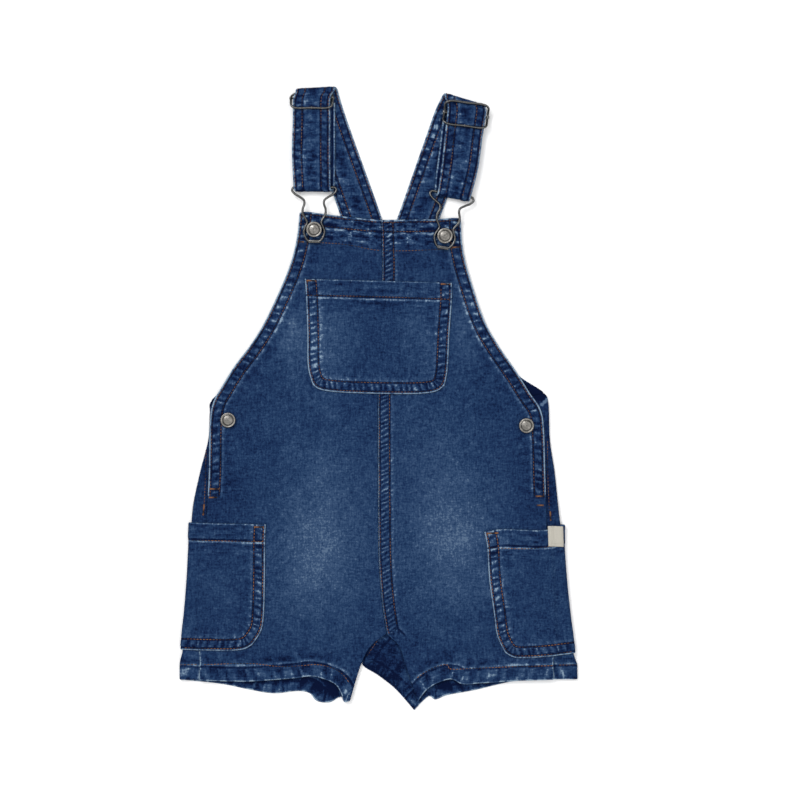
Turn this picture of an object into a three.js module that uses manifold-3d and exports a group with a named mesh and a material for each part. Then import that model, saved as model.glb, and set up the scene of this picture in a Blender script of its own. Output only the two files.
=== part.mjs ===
// Denim shortalls for a toddler, laid flat on their back, face up
// Millimetres: +X to the right of the front as seen, +Y towards the straps, +Z up from the surface

import * as THREE from 'three';
import { mergeVertices } from 'three/addons/utils/BufferGeometryUtils.js';
import Module from 'manifold-3d';

const wasm = await Module();
wasm.setup();

// Cloth and hardware
const CLOTH = 1.2;
const GAP = 0.3;
const STRAP_CLOTH = 2.2;
const WIRE_RADIUS = 0.95;
const BUTTON_RADIUS = 6.3;
const SIDE_BUTTON_RADIUS = 6.1;

// How the layers lie on each other at the sides
const FOLD_RADIUS = 1.6;
const POCKET_FOLD_RADIUS = FOLD_RADIUS + GAP + CLOTH;
const POCKET_LAYER = CLOTH + GAP;
const LAP_HEIGHT = 2 * FOLD_RADIUS + GAP;
const FRONT_CLEARANCE = 2.6;
const LAP_FLAT = 12;
const LAP_SLOPE = 18;
const BACK_TUCK = 9;
const EDGE_LIES_FLAT = 0.3;
const ARMHOLE_RIM = 7;
const POCKET_STEP_START = 6;
const POCKET_STEP = 4.2;
const POCKET_UNDER = 118;
const BACK_LIFT = { inner: 104, full: 116, top: -74, topFull: -88, bottom: -217, bottomFull: -206 };
const FRONT_LIFT = { inner: 92, full: 114, top: -58, topFull: -84, bottom: -225, bottomFull: -208 };

// Raised bands: the felled centre seam, the bib band and the hems
const FELL_WIDTH = 9;
const FELL_RISE = 0.5;
const BAND_RISE = 0.45;

// Grid steps: rows for each table row, columns for each panel
const ROW_STEPS = 2;
const FRONT_COLUMNS = 11;
const BACK_COLUMNS = 8;
const FOLD_STEPS = 4;
const WIRE_SIDES = 6;

const DENIM = { color: '#2c4a7a', roughness: 0.92, metalness: 0 };
const DENIM_DARK = { color: '#233c68', roughness: 0.94, metalness: 0 };
const NICKEL = { color: '#6d6a66', roughness: 0.38, metalness: 1 };
const SILVER = { color: '#8f8b84', roughness: 0.42, metalness: 1 };
const LABEL = { color: '#d9d4c6', roughness: 0.85, metalness: 0 };

// Edges of the front panels from the bib to the hem: the armhole and side, then the centre and inseam,
// which turns a corner at the crotch's row
const CROTCH_ROW = 13;
const FRONT_EDGES = ['outerX', 'outerY', 'innerX', 'innerY'];
const FRONT_LEFT = table(FRONT_EDGES, [
  [-63.2, 148.8, 2.2, 143.0],
  [-65.9, 126.0, 2.8, 121.5],
  [-73.0, 101.3, 3.1, 99.0],
  [-88.8, 66.1, 1.4, 64.0],
  [-101.1, 45.0, 0.6, 43.0],
  [-115.2, 26.2, 0.0, 24.0],
  [-125.1, 10.2, -0.3, 8.0],
  [-132.7, -3.8, -0.4, -6.0],
  [-135.2, -22.0, -0.4, -26.0],
  [-135.9, -60.0, -0.3, -60.0],
  [-137.6, -98.0, -0.1, -96.0],
  [-139.4, -136.0, 0.6, -134.0],
  [-141.2, -169.2, 3.1, -164.8],
  [-142.0, -188.0, 6.6, -188.4],
  [-142.7, -201.0, -6.0, -198.4],
  [-143.0, -213.2, -14.0, -213.4],
  [-143.2, -225.8, -22.8, -242.4],
]);
const FRONT_RIGHT = table(FRONT_EDGES, [
  [66.0, 144.0, 2.2, 143.0],
  [67.3, 122.0, 2.8, 121.5],
  [72.3, 100.0, 3.1, 99.0],
  [84.2, 64.0, 1.4, 64.0],
  [96.0, 42.5, 0.6, 43.0],
  [110.4, 21.5, 0.0, 24.0],
  [121.4, 4.0, -0.3, 8.0],
  [129.6, -8.4, -0.4, -6.0],
  [132.4, -24.0, -0.4, -26.0],
  [133.5, -60.0, -0.3, -60.0],
  [134.5, -98.0, -0.1, -96.0],
  [136.0, -136.0, 0.6, -134.0],
  [137.8, -169.2, 3.1, -164.8],
  [138.8, -188.0, 6.6, -188.4],
  [139.4, -200.0, 16.4, -199.0],
  [139.8, -212.0, 22.0, -215.0],
  [140.0, -225.2, 31.2, -243.4],
]);
const BIB_TOP_LEFT = [[-63.2, 148.8], [-58.5, 149.6], [-44.0, 147.9], [-24.0, 145.4], [2.2, 143.0]];
const BIB_TOP_RIGHT = [[66.0, 144.0], [62.0, 144.6], [44.0, 143.7], [2.2, 143.0]];
const HEM_LEFT = [[-143.2, -225.8], [-105.6, -226.8], [-86.0, -225.6], [-66.0, -224.0], [-53.6, -222.6],
  [-42.0, -225.4], [-34.0, -229.6], [-29.8, -236.6], [-27.4, -243.2], [-22.8, -242.4]];
const HEM_RIGHT = [[140.0, -225.2], [108.4, -226.4], [81.2, -228.2], [66.0, -228.6], [58.8, -225.0],
  [48.0, -227.6], [39.6, -232.6], [34.6, -238.0], [31.2, -243.4]];

// Edges of the back panels: the centre and inseam, then the side fold, and how much of the side wraps
// round to the front
const BACK_EDGES = ['innerX', 'innerY', 'outerX', 'outerY', 'wrap'];
const BACK_LEFT = table(BACK_EDGES, [
  [5.4, 127.8, -25.0, 127.8, 0],
  [3.2, 110.0, -32.0, 112.0, 0],
  [1.8, 92.0, -42.0, 88.0, 0],
  [1.0, 70.0, -64.0, 55.6, 0],
  [0.4, 50.0, -90.0, 30.8, 0],
  [0.0, 34.0, -115.0, 13.4, 0],
  [-0.2, 14.0, -133.6, -1.0, 0.3],
  [-0.3, -6.0, -135.4, -12.0, 1],
  [-0.4, -33.0, -136.6, -33.0, 1],
  [-0.4, -60.0, -143.4, -60.0, 1],
  [-0.3, -88.0, -149.0, -88.0, 1],
  [0.0, -120.0, -150.8, -120.0, 1],
  [1.0, -152.0, -153.0, -152.0, 1],
  [4.0, -184.0, -156.0, -184.0, 1],
  [-6.6, -197.6, -157.0, -201.5, 1],
  [-14.4, -212.0, -159.4, -212.0, 1],
  [-22.9, -241.6, -159.6, -225.4, 1],
]);
const BACK_RIGHT = table(BACK_EDGES, [
  [5.9, 127.8, 42.0, 127.8, 0],
  [3.7, 110.0, 50.0, 108.0, 0],
  [2.3, 92.0, 58.0, 88.0, 0],
  [1.5, 70.0, 72.0, 61.0, 0],
  [0.9, 50.0, 92.4, 36.4, 0],
  [0.5, 34.0, 113.0, 17.8, 0],
  [0.3, 14.0, 131.6, 5.4, 0.3],
  [0.2, -6.0, 136.2, -4.0, 1],
  [0.1, -33.0, 137.4, -33.0, 1],
  [0.1, -60.0, 141.4, -60.0, 1],
  [0.2, -88.0, 144.2, -88.0, 1],
  [0.5, -120.0, 147.7, -120.0, 1],
  [1.5, -152.0, 150.1, -152.0, 1],
  [4.6, -184.0, 153.9, -184.0, 1],
  [-8.8, -206.0, 156.0, -203.5, 1],
  [-10.4, -216.0, 159.2, -213.0, 1],
  [28.6, -250.0, 159.6, -225.0, 1],
]);
const BACK_HEM_LEFT = [[-22.9, -241.6], [-31.0, -239.4], [-39.0, -243.6], [-50.0, -242.4], [-55.0, -236.6],
  [-63.0, -234.6], [-84.4, -236.4], [-105.6, -233.0], [-124.0, -229.2], [-159.6, -225.4]];
const BACK_HEM_RIGHT = [[28.6, -250.0], [35.0, -243.0], [41.0, -238.6], [45.0, -241.4], [54.0, -238.2],
  [77.2, -233.8], [96.4, -229.2], [112.0, -226.4], [159.6, -225.0]];

// Patch pocket on the bib: its two sides and its round-cornered foot
const BIB_POCKET = table(['outerX', 'outerY', 'innerX', 'innerY'], [
  [-59.0, 95.8, 58.6, 92.6],
  [-57.9, 80.0, 58.6, 79.0],
  [-57.0, 52.6, 56.6, 50.0],
  [-56.6, 26.0, 55.3, 24.0],
  [-52.6, 10.8, 52.8, 10.4],
]);
const BIB_POCKET_FOOT = [[-52.6, 10.8], [-47.8, 7.6], [-38.0, 5.6], [0.7, 3.8], [38.0, 4.2], [47.6, 6.4],
  [52.8, 10.4]];

// Side pockets: the inner edge on the front, and the side fold that the pocket goes round
const POCKET_EDGES = ['outerX', 'outerY', 'innerX', 'innerY'];
const POCKET_LEFT = table(POCKET_EDGES, [
  [-151.8, -99.2, -90.2, -100.8],
  [-152.4, -113.4, -90.9, -114.4],
  [-153.8, -142.0, -91.0, -142.0],
  [-156.0, -170.0, -91.8, -172.0],
  [-157.8, -186.0, -94.0, -186.0],
  [-158.8, -201.0, -101.2, -197.2],
]);
const POCKET_LEFT_FOOT = [[-158.8, -201.0], [-138.0, -201.4], [-116.3, -201.6], [-106.6, -200.2],
  [-101.2, -197.2]];
const POCKET_RIGHT = table(POCKET_EDGES, [
  [149.0, -101.0, 84.6, -106.8],
  [149.2, -117.6, 87.0, -119.0],
  [151.2, -146.0, 88.6, -145.0],
  [154.2, -174.0, 92.4, -172.0],
  [156.2, -189.0, 95.0, -190.0],
  [157.9, -203.8, 101.4, -203.6],
]);
const POCKET_RIGHT_FOOT = [[157.9, -203.8], [138.9, -206.0], [120.2, -207.4], [108.0, -207.0],
  [101.4, -203.6]];
const POCKET_TOP_RIGHT = [[149.0, -101.0], [134.2, -105.0], [97.0, -104.6], [84.6, -106.8]];

// Soft troughs and ridges across the front, each along a line, with its breadth and height
const FOLD_COLUMNS = ['x0', 'y0', 'x1', 'y1', 'breadth', 'height'];
const FRONT_FOLDS = table(FOLD_COLUMNS, [
  [-118, -40, -60, -86, 13, 0.8],
  [-112, -66, -48, -120, 12, -0.7],
  [112, -44, 62, -92, 13, 0.8],
  [108, -72, 46, -122, 12, -0.7],
  [-84, -150, -18, -186, 12, 0.9],
  [-72, -176, -24, -204, 9, -0.8],
  [76, -150, 24, -184, 12, 0.9],
  [70, -180, 34, -206, 9, -0.8],
  [-40, -60, -30, -160, 26, 0.7],
  [52, -60, 40, -160, 26, 0.7],
  [-60, 110, 0, 106, 7, 0.35],
  [4, 112, 62, 108, 7, 0.35],
]);
const BACK_FOLDS = table(FOLD_COLUMNS, [
  [-10, -198, 12, -226, 5, 1.6],
  [-2, -196, 24, -232, 4, 0.9],
  [8, -206, 30, -240, 4, 1.4],
]);

function table(columns, rows) {
  return rows.map((row) => Object.fromEntries(columns.map((name, i) => [name, row[i]])));
}

const smooth = (t) => THREE.MathUtils.smoothstep(t, 0, 1);
const { lerp } = THREE.MathUtils;

// A column of a table at a place between its rows, along one smooth curve
function columnAt(rows, name, place) {
  const last = rows.length - 1;
  const i = Math.min(Math.floor(place), last - 1);
  const t = place - i;
  const value = (k) => rows[THREE.MathUtils.clamp(k, 0, last)][name];
  const [a, b, c, d] = [value(i - 1), value(i), value(i + 1), value(i + 2)];
  const slopeIn = i === CROTCH_ROW ? c - b : (c - a) / 2;
  const slopeOut = i + 1 === CROTCH_ROW ? c - b : (d - b) / 2;
  return b + slopeIn * t + (3 * (c - b) - 2 * slopeIn - slopeOut) * t * t
    + (2 * (b - c) + slopeIn + slopeOut) * t * t * t;
}

// How far a curved end of a panel departs from the straight line between its corners
function endBow(points, u) {
  const curve = new THREE.CatmullRomCurve3(points.map(([x, y]) => new THREE.Vector3(x, y, 0)));
  const [start, end] = [points[0], points[points.length - 1]];
  const along = curve.getPointAt(THREE.MathUtils.clamp(u, 0, 1));
  return { x: along.x - lerp(start[0], end[0], u), y: along.y - lerp(start[1], end[1], u) };
}

// A place on a panel: u from its outer to its inner edge, place along the rows of its table
function planPoint(rows, ends, u, place) {
  const last = rows.length - 1;
  const point = new THREE.Vector2(
    lerp(columnAt(rows, 'outerX', place), columnAt(rows, 'innerX', place), u),
    lerp(columnAt(rows, 'outerY', place), columnAt(rows, 'innerY', place), u),
  );
  const fade = ends.fade ?? 2.5;
  const weights = [
    [ends.top, Math.max(0, 1 - place / fade)],
    [ends.foot, Math.max(0, 1 - (last - place) / fade)],
  ];
  for (const [points, weight] of weights) {
    if (!points || weight === 0) continue;
    const bow = endBow(points, u);
    point.x += bow.x * weight;
    point.y += bow.y * weight;
  }
  return point;
}

// X of the front's side edge, or of the side fold, at a height y
function edgeX(rows, y) {
  let place = 0;
  while (place < rows.length - 2 && rows[place + 1].outerY > y) place += 1;
  const [a, b] = [rows[place], rows[place + 1]];
  return lerp(a.outerX, b.outerX, THREE.MathUtils.clamp((a.outerY - y) / (a.outerY - b.outerY), 0, 1));
}

// The pocket's back half lies on the surface, so the layers above it are lifted, the front more softly
function lift(x, y, zone = BACK_LIFT) {
  const across = smooth((Math.abs(x) - zone.inner) / (zone.full - zone.inner));
  const down = smooth((zone.top - y) / (zone.top - zone.topFull));
  return POCKET_LAYER * across * down * smooth((y - zone.bottom) / (zone.bottomFull - zone.bottom));
}

function foldHeight(folds, x, y) {
  let height = 0;
  for (const fold of folds) {
    const [dx, dy] = [fold.x1 - fold.x0, fold.y1 - fold.y0];
    const length = Math.hypot(dx, dy);
    const along = ((x - fold.x0) * dx + (y - fold.y0) * dy) / (length * length);
    const across = ((x - fold.x0) * dy - (y - fold.y0) * dx) / length / fold.breadth;
    const taper = smooth((along + 0.25) * 2) * smooth((1.25 - along) * 2);
    height += fold.height * taper * Math.exp(-across * across);
  }
  return height;
}

const frontRows = (x) => (x < 0 ? FRONT_LEFT : FRONT_RIGHT);

// Underside of the front: it rests on the wrapped sides and sinks a little towards the middle
function frontLow(x, y) {
  const inward = Math.abs(edgeX(frontRows(x), y)) - Math.abs(x);
  const lap = (1 - smooth((inward - LAP_FLAT) / LAP_SLOPE)) * (1 - smooth((y - 4) / 26));
  const calm = smooth((inward - 6) / 30);
  const belly = 0.9 * Math.exp(-((x / 80) ** 2) - ((y + 96) / 90) ** 2);
  const rest = FRONT_CLEARANCE + (LAP_HEIGHT - FRONT_CLEARANCE) * lap;
  return lift(x, y, FRONT_LIFT) + rest + calm * Math.max(belly + foldHeight(FRONT_FOLDS, x, y), -0.2);
}

const frontTop = (x, y) => frontLow(x, y) + CLOTH;

// The felled seam's raised strip, on the right panel beside the centre line
function fellRise(x, y) {
  let place = 0;
  while (place < FRONT_RIGHT.length - 2 && FRONT_RIGHT[place + 1].innerY > y) place += 1;
  const [a, b] = [FRONT_RIGHT[place], FRONT_RIGHT[place + 1]];
  const share = THREE.MathUtils.clamp((a.innerY - y) / (a.innerY - b.innerY), 0, 1);
  const centre = lerp(a.innerX, b.innerX, share);
  const spread = 8;
  const off = Math.abs(x - centre - FELL_WIDTH / 2) - FELL_WIDTH / 2;
  return FELL_RISE * (1 - smooth((off - 2) / spread));
}

// A closed wall between an outer and an inner grid of points
function wall(outer, inner) {
  const rows = outer.length;
  const columns = outer[0].length;
  const count = rows * columns;
  const positions = [...outer.flat(), ...inner.flat()].flatMap((p) => [p.x, p.y, p.z]);
  const at = (i, j) => i * columns + j;
  const triangles = [];
  for (let i = 0; i < rows - 1; i += 1) {
    for (let j = 0; j < columns - 1; j += 1) {
      const [a, b, c, d] = [at(i, j), at(i + 1, j), at(i + 1, j + 1), at(i, j + 1)];
      const falling = outer[i][j].distanceTo(outer[i + 1][j + 1]);
      const rising = outer[i + 1][j].distanceTo(outer[i][j + 1]);
      const pair = falling <= rising ? [[a, b, c], [a, c, d]] : [[a, b, d], [b, c, d]];
      for (const [p, q, r] of pair) triangles.push(p, q, r, p + count, r + count, q + count);
    }
  }
  const rim = [];
  for (let i = 0; i < rows - 1; i += 1) {
    rim.push([at(i, 0), at(i + 1, 0)], [at(i + 1, columns - 1), at(i, columns - 1)]);
  }
  for (let j = 0; j < columns - 1; j += 1) {
    rim.push([at(rows - 1, j), at(rows - 1, j + 1)], [at(0, j + 1), at(0, j)]);
  }
  for (const [p, q] of rim) triangles.push(q, p, p + count, q, p + count, q + count);
  const geometry = new THREE.BufferGeometry();
  geometry.setAttribute('position', new THREE.Float32BufferAttribute(positions, 3));
  geometry.setIndex(triangles);
  return geometry;
}

// Each point of a grid moved along the grid's normal
function moved(grid, distance) {
  const [rows, columns] = [grid.length, grid[0].length];
  return grid.map((row, i) => row.map((point, j) => {
    const down = grid[Math.min(i + 1, rows - 1)][j].clone().sub(grid[Math.max(i - 1, 0)][j]);
    const across = grid[i][Math.min(j + 1, columns - 1)].clone().sub(grid[i][Math.max(j - 1, 0)]);
    return point.clone().addScaledVector(down.cross(across).normalize(), distance);
  }));
}

// Row places of a table, with the same steps between each two rows
function places(rows) {
  return Array.from({ length: (rows.length - 1) * ROW_STEPS + 1 }, (_, i) => i / ROW_STEPS);
}

const evenly = (count) => Array.from({ length: count }, (_, i) => i / (count - 1));

// Raised bands of a front panel: the bib band above the second row, the hem below the last but one
function bandRise(rows, place) {
  const last = rows.length - 1;
  return BAND_RISE * (smooth((1.5 - place) * 2) + smooth((place - last + 1.5) * 2));
}

function frontPanel(rows, ends, felled) {
  const halfGap = (felled ? 1 : -1) * GAP / 2;
  const grids = { outer: [], inner: [] };
  for (const place of places(rows)) {
    const width = Math.abs(columnAt(rows, 'outerX', place) - columnAt(rows, 'innerX', place));
    const strip = felled ? [1 - (FELL_WIDTH + 1.4) / width, 1 - FELL_WIDTH / width] : [];
    const spread = strip.length ? evenly(FRONT_COLUMNS - 2).map((t) => t * strip[0]) : evenly(FRONT_COLUMNS);
    const across = strip.length ? [...spread, strip[1], 1] : spread;
    const outer = [];
    const inner = [];
    across.forEach((u, j) => {
      const { x, y } = planPoint(rows, ends, u, place);
      const edge = x + halfGap * smooth(u * 4 - 3);
      const low = frontLow(x, y);
      const raised = strip.length && j >= across.length - 2 ? FELL_RISE : 0;
      outer.push(new THREE.Vector3(edge, y, low + CLOTH + Math.max(raised, bandRise(rows, place))));
      inner.push(new THREE.Vector3(edge, y, low));
    });
    grids.outer.push(felled ? outer.reverse() : outer);
    grids.inner.push(felled ? inner.reverse() : inner);
  }
  return wall(grids.outer, grids.inner);
}

// Half turn of a folded side, from under it to over it, seen along the body
function foldPoint(side, x, y, base, radius, turn) {
  const angle = Math.PI * turn - Math.PI / 2;
  return new THREE.Vector3(x + side * radius * Math.cos(angle), y, base + radius * (1 + Math.sin(angle)));
}

function backPanel(rows, front, ends, side) {
  const tail = FOLD_STEPS + 2;
  const grid = places(rows).map((place) => {
    const turned = columnAt(rows, 'wrap', place) - EDGE_LIES_FLAT;
    const wrap = THREE.MathUtils.clamp(turned / 0.2, 0, 1);
    const reach = THREE.MathUtils.clamp(turned / (1 - EDGE_LIES_FLAT), 0, 1);
    const outer = planPoint(rows, ends, 0, place);
    const centre = outer.x - side * FOLD_RADIUS;
    const start = lerp(outer.x - side * ARMHOLE_RIM, centre, wrap);
    const innerX = columnAt(rows, 'innerX', place);
    const share = (x) => (x - outer.x) / (innerX - outer.x);
    const pocketMarks = [side * BACK_LIFT.inner, side * BACK_LIFT.full, start];
    const even = evenly(BACK_COLUMNS).map((t) => lerp(innerX, start, t));
    const stepped = evenly(BACK_COLUMNS - 2).map((t) => lerp(innerX, pocketMarks[0], t));
    stepped.push(...pocketMarks.slice(1));
    const row = even.map((evenX, j) => {
      const { x, y } = planPoint(rows, ends, share(lerp(evenX, stepped[j], wrap)), place);
      return new THREE.Vector3(x, y, lift(x, y) + foldHeight(BACK_FOLDS, x, y));
    });
    const y = outer.y;
    const base = lift(centre, y);
    const tuck = lerp(centre, edgeX(front, y) - side * BACK_TUCK, reach);
    for (let k = 1; k <= tail; k += 1) {
      const flat = new THREE.Vector3(lerp(start, outer.x, k / tail), y, base);
      const bent = foldPoint(side, centre, y, base, FOLD_RADIUS, Math.min(k / FOLD_STEPS, 1));
      if (k > FOLD_STEPS) bent.x = lerp(centre, tuck, (k - FOLD_STEPS) / (tail - FOLD_STEPS));
      row.push(flat.lerp(bent, wrap));
    }
    return side > 0 ? row.reverse() : row;
  });
  return wall(grid, moved(grid, -CLOTH));
}

// A patch that lies on the front, raised over the felled seam under it
function bibPocket() {
  const grids = { outer: [], inner: [] };
  for (const place of places(BIB_POCKET)) {
    const band = BAND_RISE * smooth((1.5 - place) * 2);
    const row = evenly(13).map((u) => planPoint(BIB_POCKET, { foot: BIB_POCKET_FOOT, fade: 1.6 }, u, place));
    const low = ({ x, y }) => frontTop(x, y) + GAP + fellRise(x, y);
    grids.inner.push(row.map((p) => new THREE.Vector3(p.x, p.y, low(p))));
    grids.outer.push(row.map((p) => new THREE.Vector3(p.x, p.y, low(p) + CLOTH + band)));
  }
  return wall(grids.outer, grids.inner);
}

// Top of a side pocket over the wrapped side, then up the step onto the front's edge and along it
function pocketTop(side, x, y) {
  const inward = Math.abs(edgeX(side < 0 ? FRONT_LEFT : FRONT_RIGHT, y)) - Math.abs(x);
  const onSide = lift(x, y) + 2 * FOLD_RADIUS + GAP + CLOTH;
  return lerp(onSide, frontTop(x, y) + GAP + CLOTH, smooth((inward + POCKET_STEP_START) / POCKET_STEP));
}

function sidePocketGrid(rows, front, ends, side) {
  return places(rows).map((place) => {
    const outer = planPoint(rows, ends, 0, place);
    const centre = outer.x - side * POCKET_FOLD_RADIUS;
    const width = Math.abs(outer.x - columnAt(rows, 'innerX', place));
    const edge = edgeX(front, outer.y);
    const row = [];
    for (const t of evenly(3)) row.push(new THREE.Vector3(lerp(side * POCKET_UNDER, centre, t), outer.y, 0));
    for (let k = 1; k <= FOLD_STEPS + 1; k += 1) {
      row.push(foldPoint(side, centre, outer.y, 0, POCKET_FOLD_RADIUS, k / (FOLD_STEPS + 1)));
    }
    const marks = [POCKET_STEP_START, 4, POCKET_STEP_START - POCKET_STEP, -8].map((out) => edge + side * out);
    const shares = marks.map((x) => Math.abs(outer.x - x) / width);
    for (const u of [...shares, ...evenly(5).slice(1).map((t) => lerp(shares[3], 1, t))]) {
      const { x, y } = planPoint(rows, ends, u, place);
      row.push(new THREE.Vector3(x, y, pocketTop(side, x, y)));
    }
    return side > 0 ? row.reverse() : row;
  });
}

function sidePocket(rows, front, ends, side) {
  const grid = sidePocketGrid(rows, front, ends, side);
  return wall(grid, moved(grid, -CLOTH));
}

// Woven tag at the pocket's side edge, on the pocket's own surface and bent over the fold with it
const TAG = { left: 135.2, right: 147.6, top: -101.8, bottom: -118.2, lean: 0.035, cloth: 1.0 };

function tag() {
  const point = (u, v, level) => {
    const y = lerp(TAG.top, TAG.bottom, v) - TAG.lean * (u * (TAG.right - TAG.left));
    const x = lerp(TAG.left, TAG.right, u) + TAG.lean * (v * (TAG.top - TAG.bottom));
    const past = Math.max(0, x - (edgeX(POCKET_RIGHT, y) - POCKET_FOLD_RADIUS));
    const drop = POCKET_FOLD_RADIUS - Math.sqrt(Math.max(0, POCKET_FOLD_RADIUS ** 2 - past ** 2));
    return new THREE.Vector3(x, y, pocketTop(1, x, y) + GAP + level - drop);
  };
  const layer = (level) => evenly(4).map((v) => evenly(7).map((u) => point(u, v, level)));
  return wall(layer(TAG.cloth), layer(0));
}

// Straps: the run from the back, the fold at the top, the run down the front to the clip's bar, and
// the layer that turns there and goes back up to the slider
const STRAP_EDGES = ['leftX', 'leftY', 'rightX', 'rightY', 'z'];
const BACK_RUN_Z = STRAP_CLOTH / 2;
const FRONT_RUN_Z = 6.3;
const RETURN_Z = 3.7;
const LOOP_TOP_Z = 6.8;
const LOOP_LOW_Z = 2.1;
const STRAP_LEFT = {
  back: table(STRAP_EDGES, [
    [-24.7, 128.2, 8.0, 128.2, BACK_RUN_Z],
    [-33.4, 154.8, -1.0, 154.8, BACK_RUN_Z],
    [-42.8, 181.2, -10.6, 181.6, BACK_RUN_Z],
    [-52.2, 206.4, -19.9, 207.4, BACK_RUN_Z],
    [-60.6, 229.0, -28.4, 232.0, BACK_RUN_Z],
    [-65.4, 244.6, -32.6, 246.2, BACK_RUN_Z],
  ]),
  front: table(STRAP_EDGES, [
    [-66.4, 244.4, -35.2, 246.0, FRONT_RUN_Z],
    [-68.4, 239.0, -38.4, 240.0, FRONT_RUN_Z],
    [-68.6, 222.0, -38.5, 222.0, FRONT_RUN_Z],
    [-69.3, 196.0, -38.6, 196.0, FRONT_RUN_Z + 0.2],
    [-68.0, 169.0, -38.4, 169.0, LOOP_TOP_Z],
  ]),
  back_again: table(STRAP_EDGES, [
    [-66.0, 169.0, -35.4, 169.0, LOOP_LOW_Z],
    [-65.6, 181.0, -34.9, 181.0, RETURN_Z],
    [-65.4, 210.0, -34.8, 210.0, RETURN_Z],
    [-65.4, 237.0, -34.8, 237.0, RETURN_Z],
  ]),
};
const STRAP_RIGHT = {
  back: table(STRAP_EDGES, [
    [8.8, 128.2, 42.0, 128.2, BACK_RUN_Z],
    [17.0, 150.0, 50.6, 148.6, BACK_RUN_Z],
    [27.2, 179.0, 60.6, 176.0, BACK_RUN_Z],
    [37.4, 208.0, 70.6, 203.0, BACK_RUN_Z],
    [45.4, 230.6, 79.0, 223.4, BACK_RUN_Z],
    [50.6, 241.6, 84.4, 232.0, BACK_RUN_Z],
  ]),
  front: table(STRAP_EDGES, [
    [53.0, 240.8, 85.4, 231.2, FRONT_RUN_Z],
    [55.2, 233.0, 86.4, 229.6, FRONT_RUN_Z],
    [53.2, 212.6, 83.4, 210.0, FRONT_RUN_Z],
    [50.6, 187.4, 79.8, 184.0, FRONT_RUN_Z + 0.2],
    [47.4, 165.5, 73.8, 160.8, LOOP_TOP_Z],
  ]),
  back_again: table(STRAP_EDGES, [
    [44.9, 165.9, 72.6, 161.0, LOOP_LOW_Z],
    [45.8, 178.0, 75.6, 173.4, RETURN_Z],
    [48.6, 199.6, 78.4, 196.4, RETURN_Z],
    [51.6, 225.2, 81.6, 222.0, RETURN_Z],
  ]),
};

// Sections of a half turn between two sections that lie over each other
function turnedOver(a, b, steps, side) {
  const rowLength = Math.hypot(a.rightX - a.leftX, a.rightY - a.leftY);
  const out = { x: (-side * (a.rightY - a.leftY)) / rowLength, y: (side * (a.rightX - a.leftX)) / rowLength };
  const radius = Math.abs(b.z - a.z) / 2;
  return Array.from({ length: steps - 1 }, (_, k) => {
    const angle = (Math.PI * (k + 1)) / steps;
    const over = (1 - Math.cos(angle)) / 2;
    const reach = radius * Math.sin(angle);
    return {
      leftX: lerp(a.leftX, b.leftX, over) + out.x * reach,
      leftY: lerp(a.leftY, b.leftY, over) + out.y * reach,
      rightX: lerp(a.rightX, b.rightX, over) + out.x * reach,
      rightY: lerp(a.rightY, b.rightY, over) + out.y * reach,
      z: lerp(a.z, b.z, over),
    };
  });
}

const denser = (rows, steps) => Array.from({ length: (rows.length - 1) * steps + 1 }, (_, i) =>
  Object.fromEntries(STRAP_EDGES.map((name) => [name, columnAt(rows, name, i / steps)])));

function strap({ back, front, back_again: again }) {
  const path = [
    ...denser(back, 1),
    ...turnedOver(back[back.length - 1], front[0], 8, 1),
    ...denser(front, 2),
    ...turnedOver(front[front.length - 1], again[0], 8, -1),
    ...denser(again, 2),
  ];
  const middle = path.map((row) => evenly(5).map((u) => new THREE.Vector3(
    lerp(row.leftX, row.rightX, u),
    lerp(row.leftY, row.rightY, u),
    row.z,
  )));
  return wall(moved(middle, STRAP_CLOTH / 2), moved(middle, -STRAP_CLOTH / 2));
}

// Bent wire along a closed route, in the hardware's own plane: across, along and height
function placedRoute(points, hardware) {
  const [cos, sin] = [Math.cos(hardware.turn), Math.sin(hardware.turn)];
  return points.map(([across, along, z]) => new THREE.Vector3(
    hardware.x + across * cos - along * sin,
    hardware.y + across * sin + along * cos,
    z,
  ));
}

function wireLoop(route, steps) {
  const curve = new THREE.CatmullRomCurve3(route, true, 'centripetal');
  return new THREE.TubeGeometry(curve, steps, WIRE_RADIUS, WIRE_SIDES, true);
}

// Clip: a bar in the strap's loop, shoulders, a waist, and the loop that hooks round the button's neck
const LEFT_BUTTON = { x: -51.5, y: 135.1, turn: 0 };
const RIGHT_BUTTON = { x: 53.1, y: 130.1, turn: -0.175 };
const CLIP_HALF = [
  [0, 33.9, 4.45], [12.0, 33.9, 4.45], [16.6, 33.8, 4.5], [17.7, 31.6, 4.8], [15.4, 28.6, 5.2],
  [11.2, 26.0, 5.7], [8.1, 23.4, 6.1], [7.8, 20.6, 6.3], [9.1, 16.6, 6.4], [9.0, 12.4, 6.5],
  [6.8, 8.6, 6.5], [5.6, 6.0, 6.5], [6.8, 2.8, 6.5], [8.2, -1.2, 6.5], [7.2, -5.6, 6.5], [4.4, -9.2, 6.5],
  [0, -9.7, 6.5],
];

function clip(button) {
  const other = CLIP_HALF.slice(1, -1).reverse().map(([across, along, z]) => [-across, along, z]);
  return wireLoop(placedRoute([...CLIP_HALF, ...other], button), 60);
}

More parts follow.
